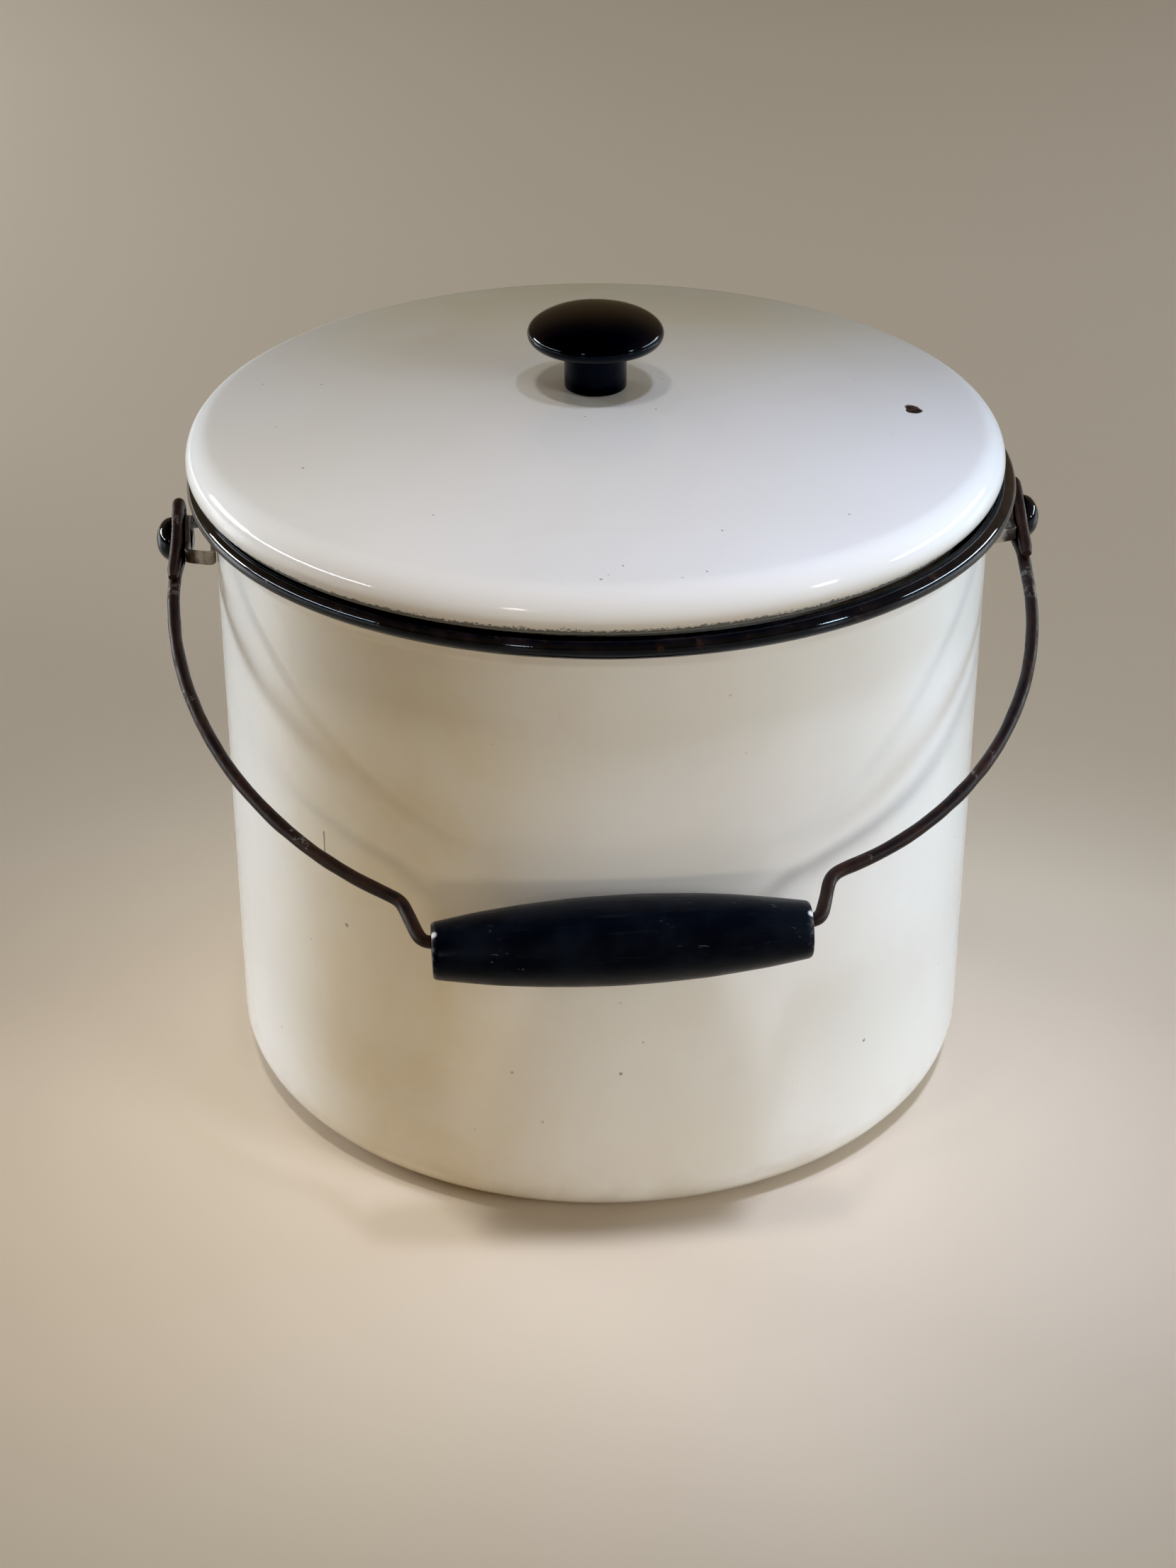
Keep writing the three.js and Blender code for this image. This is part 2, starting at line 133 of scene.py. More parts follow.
def crisp(outline, radius=0.25, steps=3, limit=25):
    """The closed outline with each hard corner rounded a little, so that its edge catches light."""
    made = []
    for i, corner in enumerate(outline):
        here = Vector(corner)
        back = Vector(outline[i - 1]) - here
        ahead = Vector(outline[(i + 1) % len(outline)]) - here
        on_axis = abs(here.x) < 1e-6
        turn = 180 - math.degrees(back.angle(ahead)) if not on_axis else 0
        if turn < limit:
            made.append(tuple(here))
            continue
        cut = min(radius, back.length / 2.2, ahead.length / 2.2)
        start, end = here + back.normalized() * cut, here + ahead.normalized() * cut
        for k in range(steps + 1):
            s = k / steps
            point = start * (1 - s) ** 2 + here * 2 * s * (1 - s) + end * s * s
            made.append(tuple(point))
    return made


# ---- Mesh helpers ----
def finished(bm, name, body, nodes, materials, sharp=35):
    """Turns a bmesh in millimetres into a piece that rides on a body and stands for CAD nodes."""
    bmesh.ops.remove_doubles(bm, verts=bm.verts, dist=1e-5)
    bmesh.ops.recalc_face_normals(bm, faces=bm.faces)
    bm.transform(Matrix.Scale(MM, 4))
    mesh = bpy.data.meshes.new(name)
    bm.to_mesh(mesh)
    bm.free()
    for polygon in mesh.polygons:
        polygon.use_smooth = True
    mesh.set_sharp_from_angle(angle=math.radians(sharp))
    piece = bpy.data.objects.new(name, mesh)
    bpy.context.scene.collection.objects.link(piece)
    for each in materials:
        mesh.materials.append(each)
    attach(piece, body)
    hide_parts(*nodes)
    return piece


def revolved(outline, segments, centre=(0, 0)):
    """A bmesh of an (r, z) outline turned about Z. It ends on the axis, or closes on itself."""
    bm = bmesh.new()
    rings = []
    for r, z in outline:
        if abs(r) < 1e-6:
            rings.append([bm.verts.new((centre[0], centre[1], z))])
            continue
        turns = [math.tau * i / segments for i in range(segments)]
        around = [(centre[0] + r * math.cos(a), centre[1] + r * math.sin(a), z) for a in turns]
        rings.append([bm.verts.new(point) for point in around])
    closed = len(rings[0]) > 1
    pairs = zip(rings, rings[1:] + rings[:1]) if closed else zip(rings, rings[1:])
    for low, high in pairs:
        for i in range(segments):
            j = (i + 1) % segments
            from_low = [low[i % len(low)], low[j % len(low)]]
            from_high = [high[j % len(high)], high[i % len(high)]]
            unique = list(dict.fromkeys(from_low + from_high))
            if len(unique) > 2:
                bm.faces.new(unique)
    return bm


def swept(path, section, up):
    """A bmesh of a closed section carried along a path. section(i) gives (side, up) offsets."""
    bm = bmesh.new()
    rings = []
    for i, point in enumerate(path):
        back, ahead = path[max(i - 1, 0)], path[min(i + 1, len(path) - 1)]
        along = (ahead - back).normalized()
        side = along.cross(up).normalized()
        lift = side.cross(along)
        rings.append([bm.verts.new(point + side * a + lift * b) for a, b in section(i)])
    for low, high in zip(rings, rings[1:]):
        for i in range(len(low)):
            j = (i + 1) % len(low)
            bm.faces.new((low[i], low[j], high[j], high[i]))
    bm.faces.new(rings[0])
    bm.faces.new(rings[-1])
    return bm


def wavy(bm, amount, size, seed, moves=lambda p: 1.0):
    """Shifts points along their normals by smooth noise, as formed sheet is never quite true."""
    bm.normal_update()
    shifts = []
    for v in bm.verts:
        value = noise.noise(v.co / size + Vector((seed, 2 * seed, 3 * seed)))
        shifts.append(v.normal * value * amount * moves(v.co))
    for v, shift in zip(bm.verts, shifts):
        v.co += shift


# ---- Materials ----
COOL = (0.62, 0.8, 1.0)  # tint of the gloss on the black pieces


class Finish:
    """One procedural material, built up from small steps. Sizes are in millimetres."""

    def __init__(self, name, metallic=0.0, specular=0.5, sheen=(1.0, 1.0, 1.0)):
        self.material = bpy.data.materials.new(name)
        self.material.use_nodes = True
        self.nodes = self.material.node_tree.nodes
        self.links = self.material.node_tree.links
        self.shader = self.nodes["Principled BSDF"]
        self.shader.inputs["Metallic"].default_value = metallic
        self.shader.inputs["IOR"].default_value = 1.5
        self.shader.inputs["Specular IOR Level"].default_value = specular
        self.shader.inputs["Specular Tint"].default_value = (*sheen, 1)
        self.place = self.nodes.new("ShaderNodeTexCoord").outputs["Object"]

    def put(self, socket, value):
        """Links an output to an input, or sets the input's own value."""
        if isinstance(value, bpy.types.NodeSocket):
            self.links.new(value, socket)
        elif isinstance(value, tuple) and len(value) == 3 and len(socket.default_value) == 4:
            socket.default_value = (*value, 1)
        else:
            socket.default_value = value

    def math(self, operation, first, second=0.0):
        node = self.nodes.new("ShaderNodeMath")
        node.operation = operation
        self.put(node.inputs[0], first)
        self.put(node.inputs[1], second)
        return node.outputs[0]

    def stretched(self, x, y, z):
        """The object's own coordinates, scaled along each axis."""
        node = self.nodes.new("ShaderNodeMapping")
        self.links.new(self.place, node.inputs["Vector"])
        node.inputs["Scale"].default_value = (x, y, z)
        return node.outputs[0]

    def noise(self, size, detail=3.0, rough=0.5, distort=0.0, place=None):
        node = self.nodes.new("ShaderNodeTexNoise")
        self.links.new(place or self.place, node.inputs["Vector"])
        node.inputs["Scale"].default_value = 1 / (size * MM)
        node.inputs["Detail"].default_value = detail
        node.inputs["Roughness"].default_value = rough
        node.inputs["Distortion"].default_value = distort
        return node.outputs["Fac"]

    def spots(self, size):
        """Distance to the nearest of many scattered points, as a share of their spacing."""
        node = self.nodes.new("ShaderNodeTexVoronoi")
        self.links.new(self.place, node.inputs["Vector"])
        node.inputs["Scale"].default_value = 1 / (size * MM)
        return node.outputs["Distance"]

    def ramp(self, value, low, high, at_low=0.0, at_high=1.0):
        """A smooth change from one number to another as a value goes from low to high."""
        node = self.nodes.new("ShaderNodeMapRange")
        node.interpolation_type = "SMOOTHSTEP"
        self.put(node.inputs["Value"], value)
        node.inputs["From Min"].default_value = low
        node.inputs["From Max"].default_value = high
        node.inputs["To Min"].default_value = at_low
        node.inputs["To Max"].default_value = at_high
        return node.outputs[0]

    def mix(self, share, first, second):
        """Colour between two colours."""
        node = self.nodes.new("ShaderNodeMix")
        node.data_type = "RGBA"
        self.put(node.inputs["Factor"], share)
        self.put(node.inputs[6], first)
        self.put(node.inputs[7], second)
        return node.outputs[2]

    def between(self, share, first, second):
        """Number between two numbers."""
        node = self.nodes.new("ShaderNodeMix")
        self.put(node.inputs[0], share)
        self.put(node.inputs[2], first)
        self.put(node.inputs[3], second)
        return node.outputs[0]

    def axes(self):
        node = self.nodes.new("ShaderNodeSeparateXYZ")
        self.links.new(self.place, node.inputs[0])
        return node.outputs

    def near(self, point, inner, outer, tall=1.0):
        """1 within inner of a point, falling to 0 at outer; tall draws the spot out upwards."""
        node = self.nodes.new("ShaderNodeVectorMath")
        node.operation = "DISTANCE"
        self.links.new(self.stretched(1, 1, 1 / tall), node.inputs[0])
        node.inputs[1].default_value = [point[0] * MM, point[1] * MM, point[2] * MM / tall]
        return self.ramp(node.outputs["Value"], inner * MM, outer * MM, 1.0, 0.0)

    def attribute(self, name):
        node = self.nodes.new("ShaderNodeAttribute")
        node.attribute_name = name
        return node.outputs["Fac"]

    def bump(self, height, depth, base=None):
        """Fine relief, depth in millimetres between a height of 0 and 1."""
        node = self.nodes.new("ShaderNodeBump")
        node.inputs["Strength"].default_value = 1.0
        node.inputs["Distance"].default_value = depth * MM
        self.put(node.inputs["Height"], height)
        if base is not None:
            self.links.new(base, node.inputs["Normal"])
        return node.outputs[0]

    def done(self, color, roughness, normal=None, metallic=None):
        self.put(self.shader.inputs["Base Color"], color)
        self.put(self.shader.inputs["Roughness"], roughness)
        if normal is not None:
            self.links.new(normal, self.shader.inputs["Normal"])
        if metallic is not None:
            self.put(self.shader.inputs["Metallic"], metallic)
        return self.material


def enamel_base(f, tint, dirt):
    """Colour, roughness and relief that all the white enamel has: clouding, pinholes, scuffs."""
    cloud = f.noise(70, 3, 0.5)
    color = f.mix(f.ramp(cloud, 0.35, 0.7), tint, dirt)
    pin = f.spots(9)
    pin_here = f.ramp(f.noise(23, 1), 0.52, 0.6)
    pinhole = f.math("MULTIPLY", f.ramp(pin, 0.03, 0.055, 1, 0), pin_here)
    color = f.mix(f.math("MULTIPLY", pinhole, 0.6), color, (0.16, 0.15, 0.13))
    scuff = f.ramp(f.noise(14, 5, 0.65, 0.6), 0.52, 0.75)
    roughness = f.between(scuff, 0.09, 0.17)
    peel = f.bump(f.noise(3.2, 2, 0.4), 0.006)
    flow = f.bump(f.noise(26, 2, 0.4), 0.05, base=peel)
    return color, roughness, flow


def body_enamel():
    f = Finish("white_enamel_body")
    color, roughness, normal = enamel_base(f, (0.80, 0.79, 0.76), (0.775, 0.76, 0.71))
    z = f.axes()[2]
    # Soft clouds of tint in the white all round; the stronger warm patch at the front left is painted
    # warm light
    cloud = f.ramp(f.noise(42, 4, 0.6, 0.5), 0.36, 0.66)
    color = f.mix(f.math("MULTIPLY", cloud, 0.13), color, (0.76, 0.69, 0.56))
    pink = f.ramp(f.noise(27, 4, 0.6), 0.50, 0.68)
    color = f.mix(f.math("MULTIPLY", pink, 0.18), color, (0.77, 0.69, 0.66))
    warm_light = f.near(on_wall(WARM_LIGHT_TURN, WARM_LIGHT_HEIGHT), 6, 78, tall=5)
    warm_light = f.math("MULTIPLY", warm_light, f.between(cloud, 0.75, 1.0))
    color = f.mix(f.math("MULTIPLY", warm_light, 0.85), color, (0.67, 0.56, 0.35))
    # Browner and darker towards the bottom, in ragged patches
    low = f.ramp(z, 2 * MM, 28 * MM, 1, 0)
    low_darkening = f.math("MULTIPLY", low, f.ramp(f.noise(18, 4, 0.6), 0.35, 0.7))
    color = f.mix(f.math("MULTIPLY", low_darkening, 0.35), color, (0.52, 0.45, 0.34))
    # Darker in ragged patches just under the rolled rim
    under_rim = f.ramp(z, (BODY_TOP.z - 5) * MM, (BODY_TOP.z - 2) * MM)
    dark_under_rim = f.math("MULTIPLY", under_rim, f.ramp(f.noise(4, 4, 0.6), 0.4, 0.65))
    color = f.mix(f.math("MULTIPLY", dark_under_rim, 0.6), color, (0.10, 0.085, 0.07))
    # Fine vertical scratches from handling
    fine = f.noise(0.6, 2, 0.5, place=f.stretched(1, 1, 0.02))
    where = f.ramp(f.noise(30, 2), 0.55, 0.7)
    scratch = f.math("MULTIPLY", f.ramp(fine, 0.68, 0.74), where)
    color = f.mix(f.math("MULTIPLY", scratch, 0.12), color, (0.25, 0.23, 0.2))
    roughness = f.math("ADD", roughness, f.math("MULTIPLY", scratch, 0.12))
    for turn, height, size in WALL_MARKS:
        mark = f.near(on_wall(turn, height), size * 0.4, size)
        ragged = f.math("MULTIPLY", mark, f.ramp(f.noise(0.5, 2), 0.3, 0.55))
        color = f.mix(f.math("MULTIPLY", ragged, 0.8), color, (0.12, 0.10, 0.09))
    hair = f.math("MULTIPLY", hairline(f), 0.75)
    color = f.mix(hair, color, (0.10, 0.09, 0.09))
    return f.done(color, roughness, normal)


def on_wall(turn, height):
    """A point on the wall, turned from the front towards the right ear by so many degrees."""
    a = math.radians(turn)
    return (WALL_R * math.sin(a), -WALL_R * math.cos(a), height)


# Small dark marks on the wall: degrees from the front, height, size
WALL_MARKS = [(-43.5, 96, 1.0), (39, 48.6, 0.9), (-16.7, 57, 0.8), (-1, 58.7, 0.8), (-12.3, 39, 0.7)]
# Where the painted warm light on the wall is centred: degrees from the front, height
WARM_LIGHT_TURN, WARM_LIGHT_HEIGHT = -34.8, 60
HAIRLINE_TURN = -47.4
HAIRLINE_LOW, HAIRLINE_HIGH = 118, 128


def hairline(f):
    """Mask of the one fine upright crack in the enamel at the front left."""
    place = on_wall(HAIRLINE_TURN, 0)
    node = f.nodes.new("ShaderNodeVectorMath")
    node.operation = "DISTANCE"
    node.inputs[1].default_value = [place[0] * MM, place[1] * MM, 0]
    f.links.new(f.stretched(1, 1, 0), node.inputs[0])
    wobble = f.math("MULTIPLY", f.noise(5, 2), 0.4 * MM)
    thin = f.ramp(f.math("ADD", node.outputs["Value"], wobble), 0.3 * MM, 0.7 * MM, 1, 0)
    z = f.axes()[2]
    above = f.ramp(z, HAIRLINE_LOW * MM, (HAIRLINE_LOW + 3) * MM)
    below = f.ramp(z, (HAIRLINE_HIGH - 1) * MM, HAIRLINE_HIGH * MM, 1, 0)
    return f.math("MULTIPLY", thin, f.math("MULTIPLY", above, below))


# Pinholes and specks on the lid: degrees from the front, distance from its axis, size
LID_SPECKS = [(-3.1, 124.5, 0.6), (0.1, 117.7, 0.45), (11.4, 123.8, 0.5), (17.4, 104.2, 0.5),
              (39, 112.8, 0.5), (42.7, 26.6, 0.45), (-64.8, 104.2, 0.6), (-103.2, 91.7, 0.5)]
LID_SHADE_AT = (10, 120, 236)  # the middle of the painted warm shade on the lid, at its back


def on_lid(turn, distance):
    """A point on the lid's upper face."""
    a = math.radians(turn)
    return (LID_AXIS[0] + distance * math.sin(a), LID_AXIS[1] - distance * math.cos(a), dome(distance))


def lid_enamel():
    f = Finish("white_enamel_lid", specular=0.4)
    color, roughness, normal = enamel_base(f, (0.80, 0.80, 0.79), (0.78, 0.775, 0.75))
    cloud = f.ramp(f.noise(38, 4, 0.6, 0.5), 0.36, 0.66)
    # Painted warm shade over the back of the lid, broken up by the clouds
    rear_warm_shade = f.near(LID_SHADE_AT, 40, 165)
    rear_warm_shade = f.math("MULTIPLY", rear_warm_shade, f.between(cloud, 0.7, 1.0))
    color = f.mix(f.math("MULTIPLY", rear_warm_shade, 0.75), color, (0.75, 0.68, 0.46))
    for turn, distance, size in LID_SPECKS:
        speck = f.near(on_lid(turn, distance), size * 0.5, size)
        color = f.mix(f.math("MULTIPLY", speck, 0.7), color, (0.13, 0.12, 0.11))
    # The enamel thins over the folded lower edge and shows the dark ground coat in specks
    z = f.axes()[2]
    low = f.ramp(z, (LID_SEAT + 0.8) * MM, (LID_SEAT + 4.4) * MM, 0.70, 0.30)
    worn = f.math("LESS_THAN", f.noise(1.3, 4, 0.65), low)
    band = f.ramp(z, (LID_SEAT - 0.4) * MM, (LID_SEAT + 0.1) * MM)
    fringe = f.ramp(z, (LID_SEAT + 3.6) * MM, (LID_SEAT + 5.4) * MM, 1, 0)
    # A smooth tan darkening towards the lid's lower curl is painted shade and painted reflection
    curl_shade_and_reflection = f.math("MULTIPLY", band, f.ramp(z, (LID_SEAT + 2) * MM, (LID_SEAT + 9) * MM, 0.5, 0))
    color = f.mix(curl_shade_and_reflection, color, (0.58, 0.50, 0.40))
    edge = f.math("MULTIPLY", worn, f.math("MULTIPLY", band, fringe))
    color = f.mix(f.math("MULTIPLY", edge, 0.75), color, (0.07, 0.085, 0.08))
    # The chip: a pale broken lip, grey-green ground coat, then dark oxide and rust
    depth = f.attribute("chip")
    ragged = f.math("ADD", depth, f.math("MULTIPLY", f.math("SUBTRACT", f.noise(0.7, 3), 0.5), 0.22))
    lip = f.ramp(ragged, -0.10, 0.0)
    ground = f.ramp(ragged, 0.03, 0.09)
    iron = f.ramp(ragged, 0.15, 0.21)
    color = f.mix(f.math("MULTIPLY", lip, f.ramp(ragged, -0.2, 0.3)), color, (0.86, 0.80, 0.76))
    color = f.mix(ground, color, (0.20, 0.22, 0.18))
    rust = f.ramp(f.noise(1.6, 3, 0.6, place=f.stretched(0.6, 1.6, 1)), 0.50, 0.62)
    oxide = f.mix(rust, (0.012, 0.006, 0.005), (0.11, 0.055, 0.035))
    color = f.mix(iron, color, oxide)
    roughness = f.between(iron, roughness, 0.8)
    crumb = f.bump(f.math("MULTIPLY", f.noise(0.5, 4), iron), 0.12, base=normal)
    return f.done(color, roughness, crumb)


def black_enamel():
    f = Finish("black_enamel", specular=0.5, sheen=COOL)
    haze = f.ramp(f.noise(7, 4, 0.6), 0.4, 0.75)
    color = f.mix(haze, (0.0035, 0.0035, 0.005), (0.012, 0.0085, 0.0105))
    rust = f.math("MULTIPLY", f.ramp(f.noise(5.5, 5, 0.7), 0.60, 0.68), 0.6)
    color = f.mix(rust, color, (0.030, 0.014, 0.009))
    flake = f.spots(6)
    flake_here = f.ramp(f.noise(17, 2), 0.56, 0.64)
    chip = f.math("MULTIPLY", f.ramp(flake, 0.09, 0.12, 1, 0), flake_here)
    color = f.mix(f.math("MULTIPLY", chip, 0.5), color, (0.20, 0.19, 0.17))
    roughness = f.between(haze, 0.035, 0.10)
    roughness = f.math("ADD", roughness, f.math("MULTIPLY", rust, 0.3))
    lump = f.bump(f.noise(5.5, 3, 0.5), 0.04)
    grain = f.bump(f.noise(0.8, 2), 0.010, base=lump)
    return f.done(color, roughness, grain)


def ear_enamel():
    f = Finish("ear_enamel")
    cloud = f.ramp(f.noise(6, 4, 0.6), 0.35, 0.7)
    color = f.mix(cloud, (0.40, 0.375, 0.33), (0.22, 0.195, 0.165))
    x = f.math("ABSOLUTE", f.axes()[0])
    ragged = f.math("ADD", x, f.math("MULTIPLY", f.noise(3, 4, 0.6), 3 * MM))
    boss = f.ramp(ragged, (BAR_X - 3.2) * MM, (BAR_X - 0.8) * MM)
    color = f.mix(f.math("MULTIPLY", boss, 0.95), color, (0.014, 0.009, 0.009))
    rust = f.ramp(f.noise(2.4, 5, 0.7), 0.56, 0.66)
    color = f.mix(f.math("MULTIPLY", rust, 0.7), color, (0.10, 0.045, 0.02))
    roughness = f.between(rust, 0.3, 0.75)
    pits = f.bump(f.noise(1.2, 4), 0.05)
    return f.done(color, roughness, pits)


def dark_wire():
    f = Finish("oxidised_wire", specular=0.3)
    drift = f.ramp(f.noise(16, 4, 0.6), 0.35, 0.7)
    color = f.mix(drift, (0.010, 0.007, 0.008), (0.026, 0.014, 0.011))
    rust = f.ramp(f.noise(3.5, 5, 0.7), 0.50, 0.64)
    color = f.mix(f.math("MULTIPLY", rust, 0.7), color, (0.036, 0.017, 0.011))
    bare = f.ramp(f.noise(9, 5, 0.75), 0.64, 0.70)
    for half, side, along in BARE_SPOTS:
        rubbed = f.near(on_bail(side * bow_out(half, along), along), 1.5, 4.5)
        rubbed = f.math("MULTIPLY", rubbed, f.ramp(f.noise(2.2, 4, 0.7), 0.46, 0.56))
        bare = f.math("MAXIMUM", bare, rubbed)
    color = f.mix(f.math("MULTIPLY", bare, 0.7), color, (0.22, 0.21, 0.20))
    roughness = f.between(rust, 0.42, 0.72)
    roughness = f.between(bare, roughness, 0.30)
    metallic = f.between(bare, 0.0, 0.6)
    pits = f.bump(f.noise(0.9, 5, 0.6), 0.09)
    lumps = f.bump(f.noise(5, 3), 0.10, base=pits)
    return f.done(color, roughness, lumps, metallic)


def black_paint():
    """Satin paint on turned wood: lengthwise grain telegraphs through, the end rims are worn, and each
    end rim carries a painted highlight spot.
    """
    f = Finish("black_painted_wood", specular=0.14, sheen=COOL)
    grain = f.noise(1.1, 4, 0.6, 0.4, place=f.stretched(0.05, 1, 1))
    tone = f.ramp(f.noise(14, 4, 0.6), 0.35, 0.7)
    color = f.mix(tone, (0.005, 0.0055, 0.0078), (0.007, 0.0085, 0.012))
    color = f.mix(f.ramp(grain, 0.60, 0.72, 0, 0.35), color, (0.016, 0.018, 0.022))
    scratch = f.noise(0.5, 2, 0.5, 1.5, place=f.stretched(0.10, 1.0, 0.6))
    here = f.ramp(f.noise(19, 2), 0.54, 0.62)
    marks = f.math("MULTIPLY", f.ramp(scratch, 0.70, 0.74), here)
    color = f.mix(f.math("MULTIPLY", marks, 0.7), color, (0.12, 0.15, 0.15))
    x = f.math("ABSOLUTE", f.math("SUBTRACT", f.axes()[0], GRIP_AT.x * MM))
    rim = f.ramp(x, (GRIP_HALF - 1.6) * MM, (GRIP_HALF - 0.3) * MM)
    worn = f.math("MULTIPLY", rim, f.ramp(f.noise(2.5, 4, 0.6), 0.50, 0.60))
    color = f.mix(f.math("MULTIPLY", worn, 0.6), color, (0.12, 0.10, 0.085))
    # The small pale spot on each end rim is a painted highlight
    for end in (-1, 1):
        glint_point = GRIP_AT + GRIP_AXIS * end * (GRIP_HALF - 0.6) + GRIP_GLINT_WAY * GRIP_END_R
        color = f.mix(f.near(glint_point, 0.5, 1.4), color, (0.60, 0.61, 0.60))
    roughness = f.between(tone, 0.28, 0.42)
    lines = f.bump(grain, 0.05)
    dents = f.bump(f.noise(9, 3), 0.12, base=lines)
    return f.done(color, roughness, dents)


def phenolic():
    f = Finish("black_phenolic", specular=0.16, sheen=COOL)
    haze = f.ramp(f.noise(11, 4, 0.6), 0.4, 0.75)
    color = f.mix(haze, (0.0042, 0.0042, 0.0056), (0.0058, 0.0056, 0.0072))
    hair = f.noise(0.35, 2, 0.5, 2.0, place=f.stretched(1, 0.08, 1))
    marks = f.math("MULTIPLY", f.ramp(hair, 0.70, 0.73), f.ramp(f.noise(12, 1), 0.5, 0.6))
    roughness = f.math("ADD", f.between(haze, 0.05, 0.14), f.math("MULTIPLY", marks, 0.15))
    return f.done(color, roughness, f.bump(f.noise(6, 2), 0.02))


def bare_metal(name, color, dark, roughness):
    """Turned or plated metal with fine lines round its axis, and tarnish."""
    f = Finish(name, metallic=1.0)
    tarnish = f.ramp(f.noise(3, 4, 0.6), 0.4, 0.7)
    tone = f.mix(tarnish, color, dark)
    rings = f.noise(0.25, 2, place=f.stretched(0.05, 0.05, 1))
    rough = f.between(tarnish, roughness, roughness + 0.2)
    return f.done(tone, rough, f.bump(rings, 0.01))


# ---- Pail ----
def flare(inward):
    """The wall's way out to the rim."""
    reach = WALL_EDGE_R - WALL_R
    steps = 10
    shares = [i / steps for i in range(steps + 1)]
    return [
        (WALL_R + reach * ease(s) - inward, FLARE_LOW + (FLARE_HIGH - FLARE_LOW) * s)
        for s in shares
    ]


BASE_STEP_R = 84  # the shallow ring pressed into the bottom
BASE_STEP_H = 0.35


def body_piece(white):
    centre = WALL_R - CORNER_R
    outside = [
        (0, BASE_STEP_H),
        *line((0, BASE_STEP_H), (BASE_STEP_R - 2, BASE_STEP_H), 8),
        (BASE_STEP_R - 2, BASE_STEP_H),
        (BASE_STEP_R - 1, 0.6 * BASE_STEP_H),
        (BASE_STEP_R + 1, 0),
        *line((BASE_STEP_R + 1, 0), (centre, 0), 4),
        *arc(centre, CORNER_R, CORNER_R, -90, 0, 20),
        *line((WALL_R, CORNER_R), (WALL_R, FLARE_LOW), 24),
        *flare(0),
        (WALL_EDGE_R, BODY_TOP.z),
    ]
    inside = [
        (WALL_EDGE_R - SHEET, BODY_TOP.z),
        *reversed(flare(SHEET)),
        *line((WALL_R - SHEET, FLARE_LOW), (WALL_R - SHEET, CORNER_R), 24),
        *arc(centre, CORNER_R, CORNER_R - SHEET, 0, -90, 14),
        *line((centre, SHEET), (BASE_STEP_R + 1, SHEET), 4),
        (BASE_STEP_R + 1, SHEET),
        (BASE_STEP_R - 1, SHEET + 0.4 * BASE_STEP_H),
        (BASE_STEP_R - 2, SHEET + BASE_STEP_H),
        *line((BASE_STEP_R - 2, SHEET + BASE_STEP_H), (0, SHEET + BASE_STEP_H), 8),
        (0, SHEET + BASE_STEP_H),
    ]
    bm = revolved(crisp(outside + inside), 256)
    wavy(bm, 0.07, 55, 4.0, lambda p: ease((p.z - 6) / 20) * ease((BODY_TOP.z - p.z) / 12))
    return finished(bm, "enamel_body", "pail", ["body_shell"], [white])


def rim_piece(black):
    outline = [
        *arc(RIM_R, RIM_Z, ROLL_R, 180, -120, 36),
        *arc(RIM_R, RIM_Z, ROLL_R - SHEET, -120, 180, 26),
    ]
    bm = revolved(crisp(outline), 320)
    # The roll was turned by hand tools, so it is slightly uneven round its length
    wavy(bm, 0.07, 16, 9.0, lambda p: ease((p.xy.length - RIM_R) / ROLL_R + 0.6))
    return finished(bm, "rolled_rim", "pail", ["rim_bead"], [black])


def rim_core_piece(steel):
    radius = (RIM_CORE_HIGH.z - RIM_CORE_LOW.z) / math.sqrt(3)
    ring = arc(RIM_R, RIM_Z, radius, 0, 345, 23)
    bm = revolved(ring, 192)
    return finished(bm, "rim_core_wire", "pail", ["rim_wire"], [steel])


# ---- Ears ----
EAR_BAR_Y = 13.5
EAR_LEG_Y = 16.5
EAR_FOOT_Y = 8
EAR_BEND_R = 2
EAR_BOSS_R = 7.8


def rounded(corners, radii, steps):
    """A line of corner points with each inner corner rounded."""
    made = [corners[0]]
    for back, corner, ahead, radius in zip(corners, corners[1:], corners[2:], radii[1:]):
        to_back, to_ahead = (back - corner).normalized(), (ahead - corner).normalized()
        reach = radius / math.tan(to_back.angle(to_ahead) / 2)
        start, end = corner + to_back * reach, corner + to_ahead * reach
        for i in range(steps + 1):
            s = i / steps
            made.append(start * (1 - s) ** 2 + corner * 2 * s * (1 - s) + end * s * s)
    return [*made, corners[-1]]


def evenly(points, spacing):
    """The same line with points about so far apart."""
    made = [points[0]]
    for start, end in zip(points, points[1:]):
        count = max(1, round((end - start).length / spacing))
        made += [start.lerp(end, i / count) for i in range(1, count + 1)]
    return made


def slab(half_t, half_h, round_r=0.45, steps=3):
    """Outline of a strap's section with rounded edges."""
    r = min(round_r, half_t * 0.8, half_h * 0.8)
    corners = [(half_t - r, half_h - r, 0), (r - half_t, half_h - r, 90),
               (r - half_t, r - half_h, 180), (half_t - r, r - half_h, 270)]
    return [p for x, y, turn in corners for p in arc(x, y, r, turn, turn + 90, steps)]


